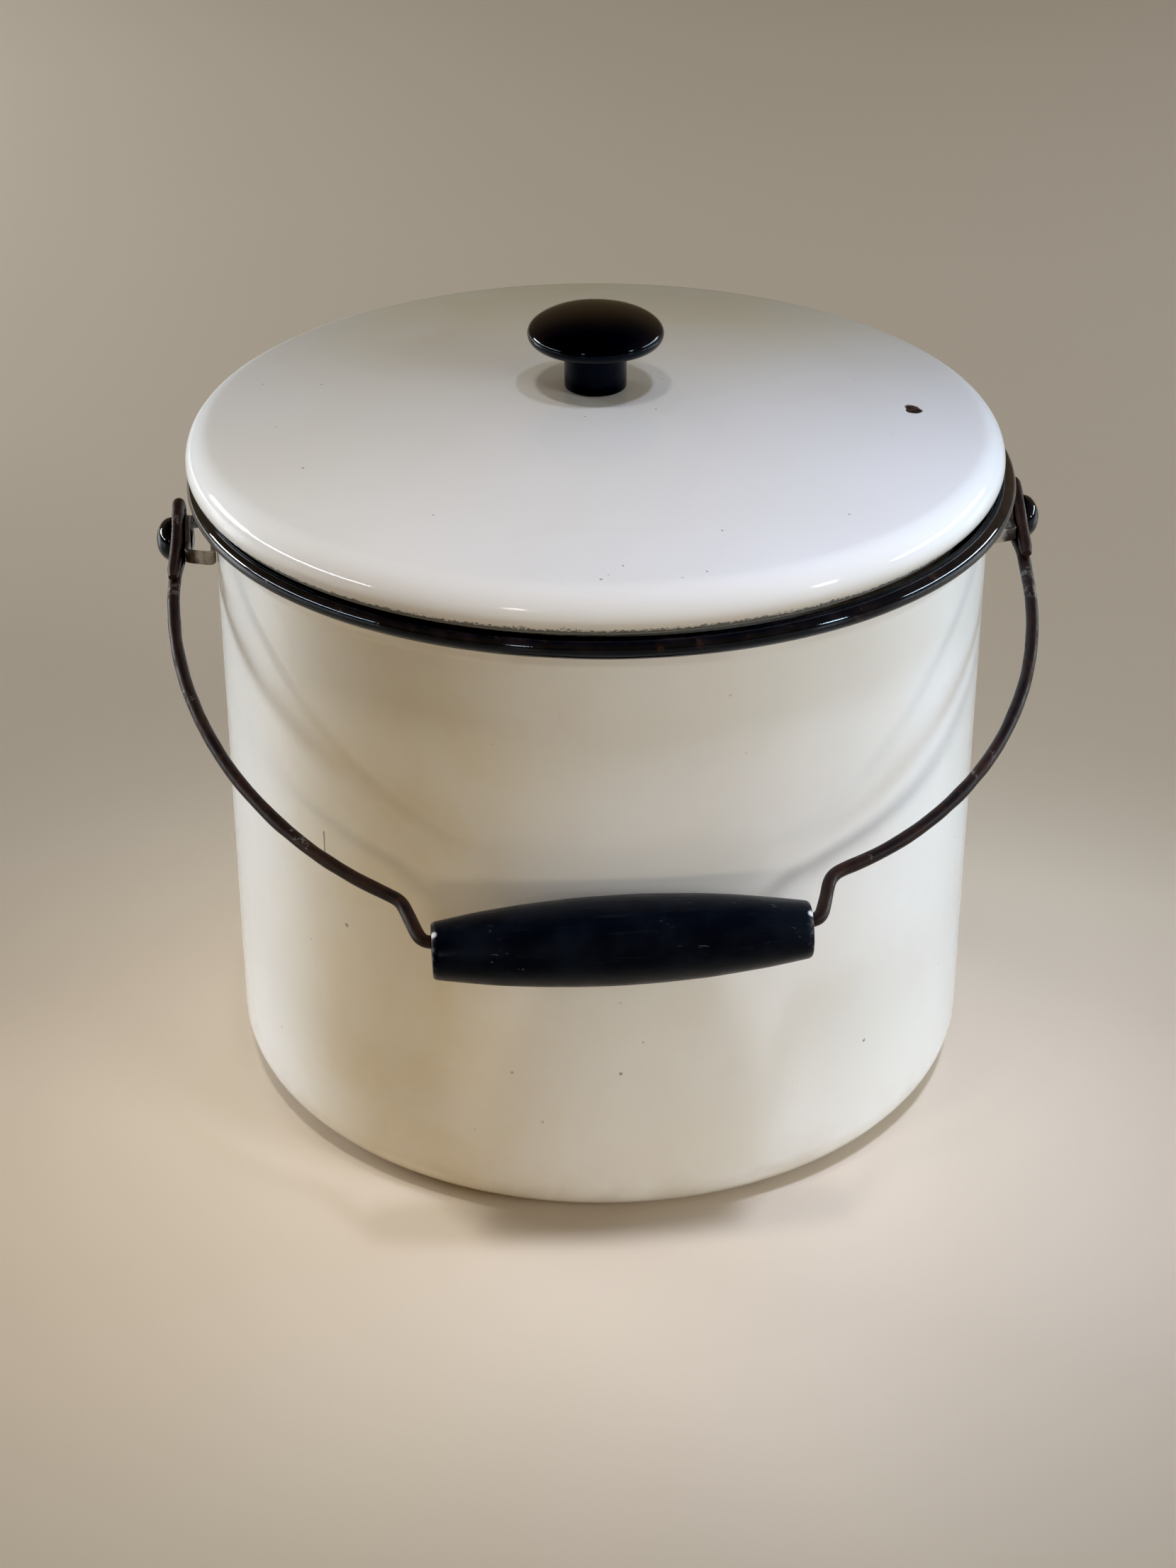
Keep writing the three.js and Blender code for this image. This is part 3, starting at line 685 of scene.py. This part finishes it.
def ear_piece(side, enamel):
    """The strap bridge in one sweep; its section grows tall where the round boss is."""
    foot_r = WALL_R + GAP + STRAP_T / 2

    def on_foot(y):
        return Vector((math.sqrt(foot_r ** 2 - y ** 2), y, PIVOT_Z))

    foot_mid = (EAR_LEG_Y + EAR_FOOT_Y) / 2
    bar_ends = [Vector((BAR_X, y, PIVOT_Z)) for y in (-EAR_BAR_Y, EAR_BAR_Y)]
    corners = [
        on_foot(-EAR_FOOT_Y), on_foot(-foot_mid), on_foot(-EAR_LEG_Y),
        *bar_ends,
        on_foot(EAR_LEG_Y), on_foot(foot_mid), on_foot(EAR_FOOT_Y),
    ]
    spacing = 0.35
    path = evenly(rounded(corners, [EAR_BEND_R] * len(corners), 8), spacing)

    def section(i):
        y = abs(path[i].y)
        half = STRAP_H / 2
        if y < EAR_BOSS_R and path[i].x > BAR_X - 0.5:
            half = max(half, math.sqrt(EAR_BOSS_R ** 2 - y ** 2))
        from_end = spacing * min(i, len(path) - 1 - i)
        if from_end < half:  # the foot has a round end
            half = max(math.sqrt(half ** 2 - (half - from_end) ** 2), 0.35)
        return slab(STRAP_T / 2, half)

    bm = swept(path, section, Vector((0, 0, 1)))
    name, node = f"{side}_ear_strap", f"{side}_ear_bracket"
    if side == "left":
        bm.transform(Matrix.Rotation(math.pi, 4, "Z"))
    return finished(bm, name, "pail", [node], [enamel], sharp=50)


STUD_R = 3.0
STUD_TAIL_R = 4.0
STUD_TAIL_H = 0.8


def stud_piece(side, black):
    head_x = EYE_X + WIRE_R + GAP
    head_r = (STUD_HIGH.z - STUD_LOW.z) / 2
    head_h = STUD_HIGH.x - head_x
    tail_x = STUD_LOW.x
    dome_line = [(head_r * x, head_x + head_h * y) for x, y in arc(0, 0, 1, 0, 90, 18)]
    dome_line[-1] = (0, dome_line[-1][1])
    peened = [(STUD_TAIL_R * x, tail_x + STUD_TAIL_H * (1 - y)) for x, y in arc(0, 0, 1, 90, 0, 8)]
    peened[0] = (0, tail_x)
    outline = [*peened, (STUD_R, tail_x + STUD_TAIL_H), (STUD_R, head_x), *dome_line]
    bm = revolved(crisp(outline, 0.35), 48)
    wavy(bm, 0.12, 5, 6.0 if side == "left" else 7.5)
    bm.transform(Matrix.Rotation(math.pi / 2, 4, "Y"))
    bm.transform(Matrix.Translation((0, 0, PIVOT_Z)))
    if side == "left":
        bm.transform(Matrix.Rotation(math.pi, 4, "Z"))
    name, node = f"{side}_ear_rivet", f"{side}_ear_stud"
    return finished(bm, name, "pail", [node], [black])


# ---- Bail ----
EYE_HALF_WIDTH = 6.1
EYE_TOP = 7.3
TAIL_END = 20
TAIL_OFFSET = 4.7
NECK_END = 18
# Each half of the bow is an arc about a centre this far out and along, and ends at its shoulder
BOW_RIGHT = {"out": 21.5, "along": 28.8, "radius": 118.7, "shoulder": 62.5}
BOW_LEFT = {"out": 4.2, "along": 24, "radius": 137.2, "shoulder": 70}
# Spots worn bright on the wire: the half, its side, and how far along it from the pivot
BARE_SPOTS = [(BOW_RIGHT, 1, 25), (BOW_RIGHT, 1, 33), (BOW_LEFT, -1, 22)]
SHOULDER_BEND, GRIP_BEND, GRIP_TO_BEND = 8, 5, 3
WIRE_DROP = GRIP_AT.z + GRIP_HANG - PIVOT_Z
WIRE_REACH = math.hypot(GRIP_AT.y, WIRE_DROP)
ALONG = Vector((0, GRIP_AT.y, WIRE_DROP)).normalized()
ACROSS = Vector((0, ALONG.z, -ALONG.y))


def on_bail(x, along, across=0.0):
    """A point by its x, its distance from the pivot axis in the bail's plane, and its height off it."""
    return Vector((x, 0, PIVOT_Z)) + ALONG * along + ACROSS * across


def bow_out(half, along):
    """How far out a half of the bow lies, at a distance along from the pivot."""
    if along > half["along"]:
        return half["out"] + math.sqrt(half["radius"] ** 2 - (along - half["along"]) ** 2)
    return EYE_X + (half["out"] + half["radius"] - EYE_X) * ease(along / half["along"])


def half_bail(half, side):
    """The wire's middle line from the tip of one eye's tail to where it turns into the grip."""
    shares = [i / 14 for i in range(15)]
    points = []
    for s in reversed(shares[1:]):
        across = EYE_HALF_WIDTH + (TAIL_OFFSET - EYE_HALF_WIDTH) * ease(s / 0.7)
        points.append((bow_out(half, TAIL_END * s), TAIL_END * s, across))
    points += [(EYE_X, a, c) for a, c in arc(-EYE_TOP, 0, EYE_HALF_WIDTH, 90, 270, 20)]
    for s in shares[1:]:
        points.append((bow_out(half, NECK_END * s), NECK_END * s, -EYE_HALF_WIDTH * (1 - ease(s))))
    shoulder_deg = math.degrees(math.acos((half["shoulder"] - half["out"]) / half["radius"]))
    bow = arc(half["out"], half["along"], half["radius"], 0, shoulder_deg, 40)
    across_x, along = GRIP_AXIS.x, GRIP_AXIS.dot(ALONG)
    reach = GRIP_HALF + GRIP_TO_BEND
    bend = (reach * across_x + side * GRIP_AT.x, WIRE_REACH + side * reach * along)
    ends = [bow[-4], bow[-1], bend, (side * GRIP_AT.x, WIRE_REACH)]
    corners = [Vector((*end, 0)) for end in ends]
    shoulder = rounded(corners, [0, SHOULDER_BEND, GRIP_BEND, 0], 10)[1:-1]
    points += [(x, a, 0) for x, a in bow[:-4]]
    points += [(p.x, p.y, 0) for p in shoulder]
    return [on_bail(side * x, a, c) for x, a, c in points]


def smoothed(points, rounds):
    """Evens out the small steps where stretches of the line meet. The ends stay."""
    for _ in range(rounds):
        inner = [(a + b * 2 + c) / 4 for a, b, c in zip(points, points[1:], points[2:])]
        points = [points[0], *inner, points[-1]]
    return points


def bail_piece(steel):
    middle_line = [*half_bail(BOW_RIGHT, 1), *reversed(half_bail(BOW_LEFT, -1))]
    path = smoothed(evenly(middle_line, 1.2), 6)
    last = len(path) - 1

    def section(i):
        from_tip = min(i, last - i)
        radius = WIRE_R * (0.72 + 0.28 * ease(from_tip / 2)) if from_tip < 3 else WIRE_R
        return arc(0, 0, radius, 0, 342, 19)

    bm = swept(path, section, ACROSS)
    wavy(bm, 0.16, 7, 3.0)
    return finished(bm, "bail_handle_wire", "bail", ["bail_wire"], [steel], sharp=50)


def grip_piece(paint):
    """The turned barrel, bored through, with a rounded rim at each end."""
    bevel = 1.0
    rise = GRIP_MID_R - GRIP_END_R
    barrel_r = (GRIP_HALF ** 2 + rise ** 2) / (2 * rise)
    span = GRIP_HALF - bevel
    steps = 64
    barrel = []
    for i in range(steps + 1):
        x = span * (-1 + 2 * i / steps)
        barrel.append((GRIP_MID_R - barrel_r + math.sqrt(barrel_r ** 2 - x ** 2), x))
    turns = [math.radians(15 * k) for k in range(6)]
    corner_low = [
        (GRIP_END_R - bevel + bevel * math.sin(a), -GRIP_HALF + bevel * (1 - math.cos(a)))
        for a in turns
    ]
    corner_high = [(r, -x) for r, x in reversed(corner_low)]
    outline = [
        (GRIP_BORE_R, -GRIP_HALF + 0.6),
        (GRIP_BORE_R + 0.6, -GRIP_HALF),
        *corner_low, *barrel, *corner_high,
        (GRIP_BORE_R + 0.6, GRIP_HALF),
        (GRIP_BORE_R, GRIP_HALF - 0.6),
    ]
    bm = revolved(outline, 72)
    wavy(bm, 0.10, 11, 5.0)
    bm.transform(Matrix.Rotation(math.pi / 2, 4, "Y"))
    bm.transform(Vector((1, 0, 0)).rotation_difference(GRIP_AXIS).to_matrix().to_4x4())
    bm.transform(Matrix.Translation(GRIP_AT))
    return finished(bm, "turned_grip", "grip", ["bail_grip"], [paint])


# ---- Lid ----
SHOULDER_AT_R = LID_R - LID_SHOULDER_R
DOME_EDGE = arc(SHOULDER_AT_R, LID_WIDEST, LID_SHOULDER_R, LID_DOME_EDGE_DEG, LID_DOME_EDGE_DEG, 1)[0]


def dome(distance):
    """Height of the lid's upper face at a distance from its axis, inside the shoulder."""
    share = (distance ** 2 - LID_LAND_R ** 2) / (DOME_EDGE[0] ** 2 - LID_LAND_R ** 2)
    return LID_TOP - LID_DOME_H * max(share, 0)


CHIP_TURN, CHIP_DISTANCE, CHIP_R, CHIP_DEPTH = 84.9, 103.4, 3.5, 0.35
PIMPLE_TURN, PIMPLE_DISTANCE, PIMPLE_R, PIMPLE_H = -31.2, 118.6, 0.9, 0.10


def chip_share(offset):
    """How far inside the chip's broken outline a point is: 1 at its middle, 0 on the outline."""
    turn = math.atan2(offset.y, offset.x)
    broken = noise.noise(Vector((1.3 * math.cos(turn), 1.3 * math.sin(turn), 7.7)))
    facet = 0.10 * math.cos(3 * turn + 0.6) + 0.06 * math.cos(5 * turn)
    outline = CHIP_R * (1 + 0.12 * broken + 0.5 * facet - 0.14 * math.cos(2 * turn))
    return 1 - offset.length / outline


def lid_outline():
    curl_x = LID_R - LID_CURL_R
    nose = arc(LID_NOSE_AT_R, LID_SEAT + LID_NOSE_R, LID_NOSE_R, 10, -90, 8)
    skirt_low = LID_LOW.z
    skirt_top = LID_SEAT + 2 * LID_NOSE_R - SHEET
    rows = 34
    span = DOME_EDGE[0] - LID_LAND_R
    reach = [LID_LAND_R + span * i / rows for i in range(rows + 1)]
    outside = [
        (LID_HOLE_R, LID_TOP),
        (LID_LAND_R / 2, LID_TOP),
        *[(r, dome(r)) for r in reach[:-1]],
        *arc(SHOULDER_AT_R, LID_WIDEST, LID_SHOULDER_R, LID_DOME_EDGE_DEG, 0, 22),
        *arc(curl_x, LID_WIDEST, LID_CURL_R, -9, -54, 6),
        *nose,
        *line((LID_NOSE_AT_R, LID_SEAT), (LID_SKIRT_R + 1, LID_SEAT), 3),
        *arc(LID_SKIRT_R + 1, LID_SEAT - 1, 1, 90, 180, 5),
        *line((LID_SKIRT_R, LID_SEAT - 1), (LID_SKIRT_R, skirt_low), 5),
        (LID_SKIRT_R, skirt_low),
    ]
    inside = [
        (LID_SKIRT_R - SHEET, skirt_low),
        *line((LID_SKIRT_R - SHEET, skirt_low), (LID_SKIRT_R - SHEET, skirt_top - 1), 5),
        *arc(LID_SKIRT_R - SHEET + 1, skirt_top - 1, 1, 180, 90, 4),
        (curl_x, skirt_top + 0.5),
        *arc(curl_x, LID_WIDEST, LID_CURL_R - SHEET, -50, -9, 5),
        *arc(SHOULDER_AT_R, LID_WIDEST, LID_SHOULDER_R - SHEET, 0, LID_DOME_EDGE_DEG, 12),
        *[(r, dome(r) - SHEET) for r in reversed(reach[:-1])],
        (LID_LAND_R / 2, LID_TOP - SHEET),
        (LID_HOLE_R, LID_TOP - SHEET),
    ]
    return outside + inside


def refine(bm, centre, radius, cuts):
    """Divides the lid's upper faces round a point and sets the new points on the dome."""
    spots = [f for f in bm.faces if f.normal.z > 0.7
             and (f.calc_center_median() - centre).length < radius]
    edges = list({e for f in spots for e in f.edges})
    bmesh.ops.subdivide_edges(bm, edges=edges, cuts=cuts, use_grid_fill=True)
    for v in bm.verts:
        height = dome((v.co.xy - Vector(LID_AXIS)).length)
        if (v.co - centre).length < 3 * radius and abs(v.co.z - height) < SHEET / 2:
            v.co.z = height


def lid_piece(white):
    bm = revolved(crisp(lid_outline()), 256, LID_AXIS)
    bmesh.ops.recalc_face_normals(bm, faces=bm.faces)
    bm.normal_update()
    chip_at = Vector(on_lid(CHIP_TURN, CHIP_DISTANCE))
    pimple_at = Vector(on_lid(PIMPLE_TURN, PIMPLE_DISTANCE))
    refine(bm, chip_at, CHIP_R + 3, 11)
    refine(bm, pimple_at, PIMPLE_R + 2.5, 11)
    wavy(bm, 0.16, 80, 2.0, lambda p: ease((p.z - LID_SEAT) / 8))
    layer = bm.verts.layers.float.new("chip")
    bm.normal_update()
    for v in bm.verts:
        share = -1.0
        if v.normal.z > 0.5:
            offset = v.co - chip_at
            if offset.length < 3 * CHIP_R:
                share = max(chip_share(offset), -1.0)
                floor = 0.75 + 0.25 * noise.noise(v.co / 1.1)
                v.co.z -= CHIP_DEPTH * ease(share / 0.22) * floor
            away = (v.co - pimple_at).length / PIMPLE_R
            if away < 2:
                v.co.z += PIMPLE_H * math.exp(-((away - 0.8) / 0.3) ** 2)
        v[layer] = share
    return finished(bm, "domed_lid", "lid", ["lid_shell"], [white], sharp=60)


# ---- Knob and its fastening ----
KNOB_R = (KNOB_HIGH.x - KNOB_LOW.x) / 2
KNOB_STEM_R = 10.2
KNOB_STEM_H = 14.9
KNOB_EDGE_R = 3.4
KNOB_FILLET_R = 2.2
SCREW_R = 2.3


def knob_piece(black):
    base = KNOB_LOW.z
    head = base + KNOB_STEM_H
    edge_x, edge_z = KNOB_R - KNOB_EDGE_R, head + KNOB_EDGE_R
    crown_h = KNOB_HIGH.z - edge_z
    bore = INSERT_HIGH.x - LID_AXIS[0] + GAP
    bore_top = INSERT_HIGH.z + GAP
    crown = [(KNOB_R * x, edge_z + crown_h * y) for x, y in arc(0, 0, 1, 0, 90, 26)[1:]]
    crown[-1] = (0, KNOB_HIGH.z)
    fillet_x, fillet_z = KNOB_STEM_R + KNOB_FILLET_R, head - KNOB_FILLET_R
    outline = [
        (0, bore_top),
        (bore, bore_top),
        (bore, base),
        (KNOB_STEM_R - 0.8, base),
        *arc(KNOB_STEM_R - 0.8, base + 0.8, 0.8, -90, 0, 4)[1:],
        *line((KNOB_STEM_R, base + 0.8), (KNOB_STEM_R, fillet_z), 5),
        *arc(fillet_x, fillet_z, KNOB_FILLET_R, 180, 90, 8),
        *line((fillet_x, head), (edge_x, head), 4),
        *arc(edge_x, edge_z, KNOB_EDGE_R, -90, 0, 10),
        *crown,
    ]
    bm = revolved(outline, 96, LID_AXIS)
    wavy(bm, 0.06, 12, 8.0)
    return finished(bm, "moulded_knob", "lid", ["lid_knob"], [black])


def insert_piece(brass):
    outer = INSERT_HIGH.x - LID_AXIS[0]
    inner = SCREW_R + GAP
    low, high = INSERT_LOW.z, INSERT_HIGH.z
    grooves = []
    for i in range(1, 6):  # rings that hold it in the moulding
        z = low + (high - low) * i / 6
        floor_r = outer - 0.3
        grooves += [(outer, z - 0.45), (floor_r, z - 0.2), (floor_r, z + 0.2), (outer, z + 0.45)]
    outline = [(inner, low), (outer, low), *grooves, (outer, high), (inner, high)]
    bm = revolved(crisp(outline, 0.12), 64, LID_AXIS)
    return finished(bm, "brass_insert", "lid", ["knob_insert"], [brass])


def washer_piece(steel):
    outer = WASHER_HIGH.x - LID_AXIS[0]
    low, high = WASHER_LOW.z, WASHER_HIGH.z
    outline = [(LID_HOLE_R, low), (outer, low), (outer, high), (LID_HOLE_R, high)]
    bm = revolved(crisp(outline, 0.2), 64, LID_AXIS)
    return finished(bm, "screw_washer", "lid", ["knob_washer"], [steel])


SCREW_HEAD_H = 2.8
THREAD_PITCH = 0.8
SLOT_HALF_W = 0.55
SLOT_D = 1.3


def screw_piece(steel):
    """A pan head screw, with ridges for its thread and a slot cut in the head."""
    head_r = SCREW_HIGH.x - LID_AXIS[0]
    low, tip = SCREW_LOW.z, SCREW_HIGH.z
    under = low + SCREW_HEAD_H
    rim = SCREW_HEAD_H / 3
    pan = [(head_r * x, under - rim - (SCREW_HEAD_H - rim) * y) for x, y in arc(0, 0, 1, 90, 0, 14)]
    pan[0] = (0, low)
    thread = []
    ridges = int((tip - under - 2) / THREAD_PITCH)
    for i in range(ridges):
        z = under + 1.2 + i * THREAD_PITCH
        thread += [(SCREW_R, z), (SCREW_R - 0.4, z + THREAD_PITCH / 2)]
    end = [(SCREW_R, tip - 0.6), (SCREW_R - 0.6, tip), (0, tip)]
    bm = revolved([*pan, (head_r, under), (SCREW_R, under), *thread, *end], 64, LID_AXIS)
    screw = finished(
        bm, "knob_fixing_screw", "lid", ["knob_screw"], [steel], sharp=30,
    )
    cut_slot(screw, low, 3 * head_r)
    return screw


def cut_slot(screw, low, length):
    """Cuts the driver's slot across the screw's head."""
    cutter_bm = bmesh.new()
    bmesh.ops.create_cube(cutter_bm, size=MM)
    span = Matrix.Diagonal((length, 2 * SLOT_HALF_W, 2 * SLOT_D, 1))
    cutter_bm.transform(Matrix.Translation((LID_AXIS[0] * MM, LID_AXIS[1] * MM, low * MM)) @ span)
    mesh = bpy.data.meshes.new("slot")
    cutter_bm.to_mesh(mesh)
    cutter_bm.free()
    cutter = bpy.data.objects.new("slot", mesh)
    bpy.context.scene.collection.objects.link(cutter)
    cut = screw.modifiers.new("slot", "BOOLEAN")
    cut.operation = "DIFFERENCE"
    cut.object = cutter
    bpy.context.view_layer.update()
    graph = bpy.context.evaluated_depsgraph_get()
    screw.data = bpy.data.meshes.new_from_object(screw.evaluated_get(graph))
    screw.modifiers.clear()
    bpy.data.objects.remove(cutter)


# ---- Studio ----
def floor_piece():
    bm = bmesh.new()
    bmesh.ops.create_grid(bm, x_segments=1, y_segments=1, size=6)
    mesh = bpy.data.meshes.new("floor")
    bm.to_mesh(mesh)
    bm.free()
    floor = bpy.data.objects.new("floor", mesh)
    bpy.context.scene.collection.objects.link(floor)
    f = Finish("pale_floor")
    color = f.mix(f.noise(400, 2), (0.70, 0.60, 0.47), (0.67, 0.57, 0.45))
    mesh.materials.append(f.done(color, 0.34))


def from_pail(turn, rise):
    """Direction turned from the front towards the right ear and raised, both in degrees."""
    a, e = math.radians(turn), math.radians(rise)
    return Vector((math.sin(a) * math.cos(e), -math.cos(a) * math.cos(e), math.sin(e)))


def softbox(name, turn, rise, distance, width, height, power, color, seen=True, lights=True):
    """A soft light that faces the pail's middle: seen in the gloss, lighting the matt, or both."""
    away = from_pail(turn, rise)
    data = bpy.data.lights.new(name, "AREA")
    data.shape = "RECTANGLE"
    data.size, data.size_y = width, height
    data.energy = power
    data.color = color
    light = bpy.data.objects.new(name, data)
    light.location = Vector((0, 0, CENTRE_Z * MM)) + away * distance
    light.rotation_euler = away.to_track_quat("Z", "Y").to_euler()
    light.visible_glossy = seen
    light.visible_diffuse = lights
    bpy.context.scene.collection.objects.link(light)


def top_light(name, place, aim, cone, blend, power, color):
    """A shaded lamp over the lid. Its bulb isn't seen in the gloss."""
    data = bpy.data.lights.new(name, "SPOT")
    data.spot_size = math.radians(cone)
    data.spot_blend = blend
    data.shadow_soft_size = 0.12
    data.energy = power
    data.color = color
    light = bpy.data.objects.new(name, data)
    light.location = place
    light.rotation_euler = (Vector(place) - Vector(aim)).to_track_quat("Z", "Y").to_euler()
    light.visible_glossy = False
    bpy.context.scene.collection.objects.link(light)


def surroundings(colors):
    """A plain room, as colours from the horizon to overhead."""
    world = bpy.data.worlds.new("studio")
    bpy.context.scene.world = world
    world.use_nodes = True
    nodes, links = world.node_tree.nodes, world.node_tree.links
    place = nodes.new("ShaderNodeTexCoord")
    axes = nodes.new("ShaderNodeSeparateXYZ")
    links.new(place.outputs["Generated"], axes.inputs[0])
    ramp = nodes.new("ShaderNodeValToRGB")
    stops = ramp.color_ramp.elements
    while len(stops) < len(colors):
        stops.new(0.5)
    for stop, (height, color) in zip(stops, colors):
        stop.position = height
        stop.color = (*color, 1)
    links.new(axes.outputs["Z"], ramp.inputs[0])
    links.new(ramp.outputs["Color"], nodes["Background"].inputs["Color"])


def studio():
    softbox("window_right", 108, 6, 2.2, 1.2, 0.4, 38, (0.56, 0.76, 1.0), seen=False)
    softbox("window_left", -125, 6, 2.2, 0.9, 0.4, 66, (0.78, 0.88, 1.0), seen=False)
    softbox("fill_right", 50, 19, 2.4, 0.8, 0.8, 18, (0.90, 0.97, 1.0), seen=False)
    softbox("fill_front", -2, 4, 2.4, 0.6, 0.3, 6, (1.0, 0.90, 0.76), seen=False)
    softbox("glint_right", 101, 12, 2.2, 1.7, 0.17, 21, (0.85, 0.93, 1.0), lights=False)
    softbox("glint_left", -117, 10, 2.2, 0.75, 0.2, 17, (0.95, 0.97, 1.0), lights=False)
    softbox("strip_left", -84, 9.5, 2.2, 1.7, 0.05, 13, (0.95, 0.97, 1.0), lights=False)
    softbox("front_right", 57, 13, 2.4, 0.24, 0.24, 7, (0.85, 0.94, 1.0), lights=False)
    softbox("front_left", -24, 14, 2.6, 0.22, 0.25, 2.5, (1.0, 0.95, 0.9), lights=False)
    top_light("lid_left", (-0.30, -0.42, 1.9), (-0.12, -0.13, 0.2), 14, 0.9, 62, (0.97, 0.95, 0.93))
    top_light("lid_right", (0.35, -0.42, 1.9), (0.14, -0.13, 0.2), 14, 0.9, 108, (0.68, 0.76, 1.0))
    surroundings([(0.0, (0.16, 0.12, 0.07)), (0.45, (0.25, 0.17, 0.09)), (0.9, (0.10, 0.095, 0.085))])


def tone(black):
    """Deepens the darkest tones a little, as a camera does."""
    view = bpy.context.scene.view_settings
    view.view_transform = "Standard"
    view.use_curve_mapping = True
    view.curve_mapping.black_level = (black, black, black)
    view.curve_mapping.update()


CAMERA_TURN = -4.0
CAMERA_RISE = 28.845
CAMERA_DISTANCE = 1.037
CAMERA_AIM = Vector((-0.00435, 0, 0.09292))
FOCAL_LENGTH = 68.35


def camera():
    away = from_pail(CAMERA_TURN, CAMERA_RISE)
    data = bpy.data.cameras.new("camera")
    data.lens = FOCAL_LENGTH
    data.sensor_width = 36
    data.clip_end = 50
    made = bpy.data.objects.new("camera", data)
    made.location = Vector((0, 0, CENTRE_Z * MM)) + away * CAMERA_DISTANCE
    made.rotation_euler = (CAMERA_AIM - made.location).to_track_quat("-Z", "Y").to_euler()
    bpy.context.scene.collection.objects.link(made)
    bpy.context.scene.camera = made


camera()
floor_piece()
studio()
tone(0.005)

wall_white = body_enamel()
lid_white = lid_enamel()
rim_black = black_enamel()
strap_enamel = ear_enamel()
plated = bare_metal("plated_steel", (0.52, 0.51, 0.49), (0.30, 0.27, 0.24), 0.28)
plain_wire = bare_metal("plain_wire", (0.34, 0.34, 0.35), (0.20, 0.17, 0.15), 0.4)

body_piece(wall_white)
rim_piece(rim_black)
rim_core_piece(plain_wire)
for ear_side in ("left", "right"):
    ear_piece(ear_side, strap_enamel)
    stud_piece(ear_side, rim_black)
bail_piece(dark_wire())
grip_piece(black_paint())
lid_piece(lid_white)
knob_piece(phenolic())
insert_piece(bare_metal("machined_brass", (0.66, 0.47, 0.17), (0.40, 0.27, 0.10), 0.25))
washer_piece(plated)
screw_piece(plated)
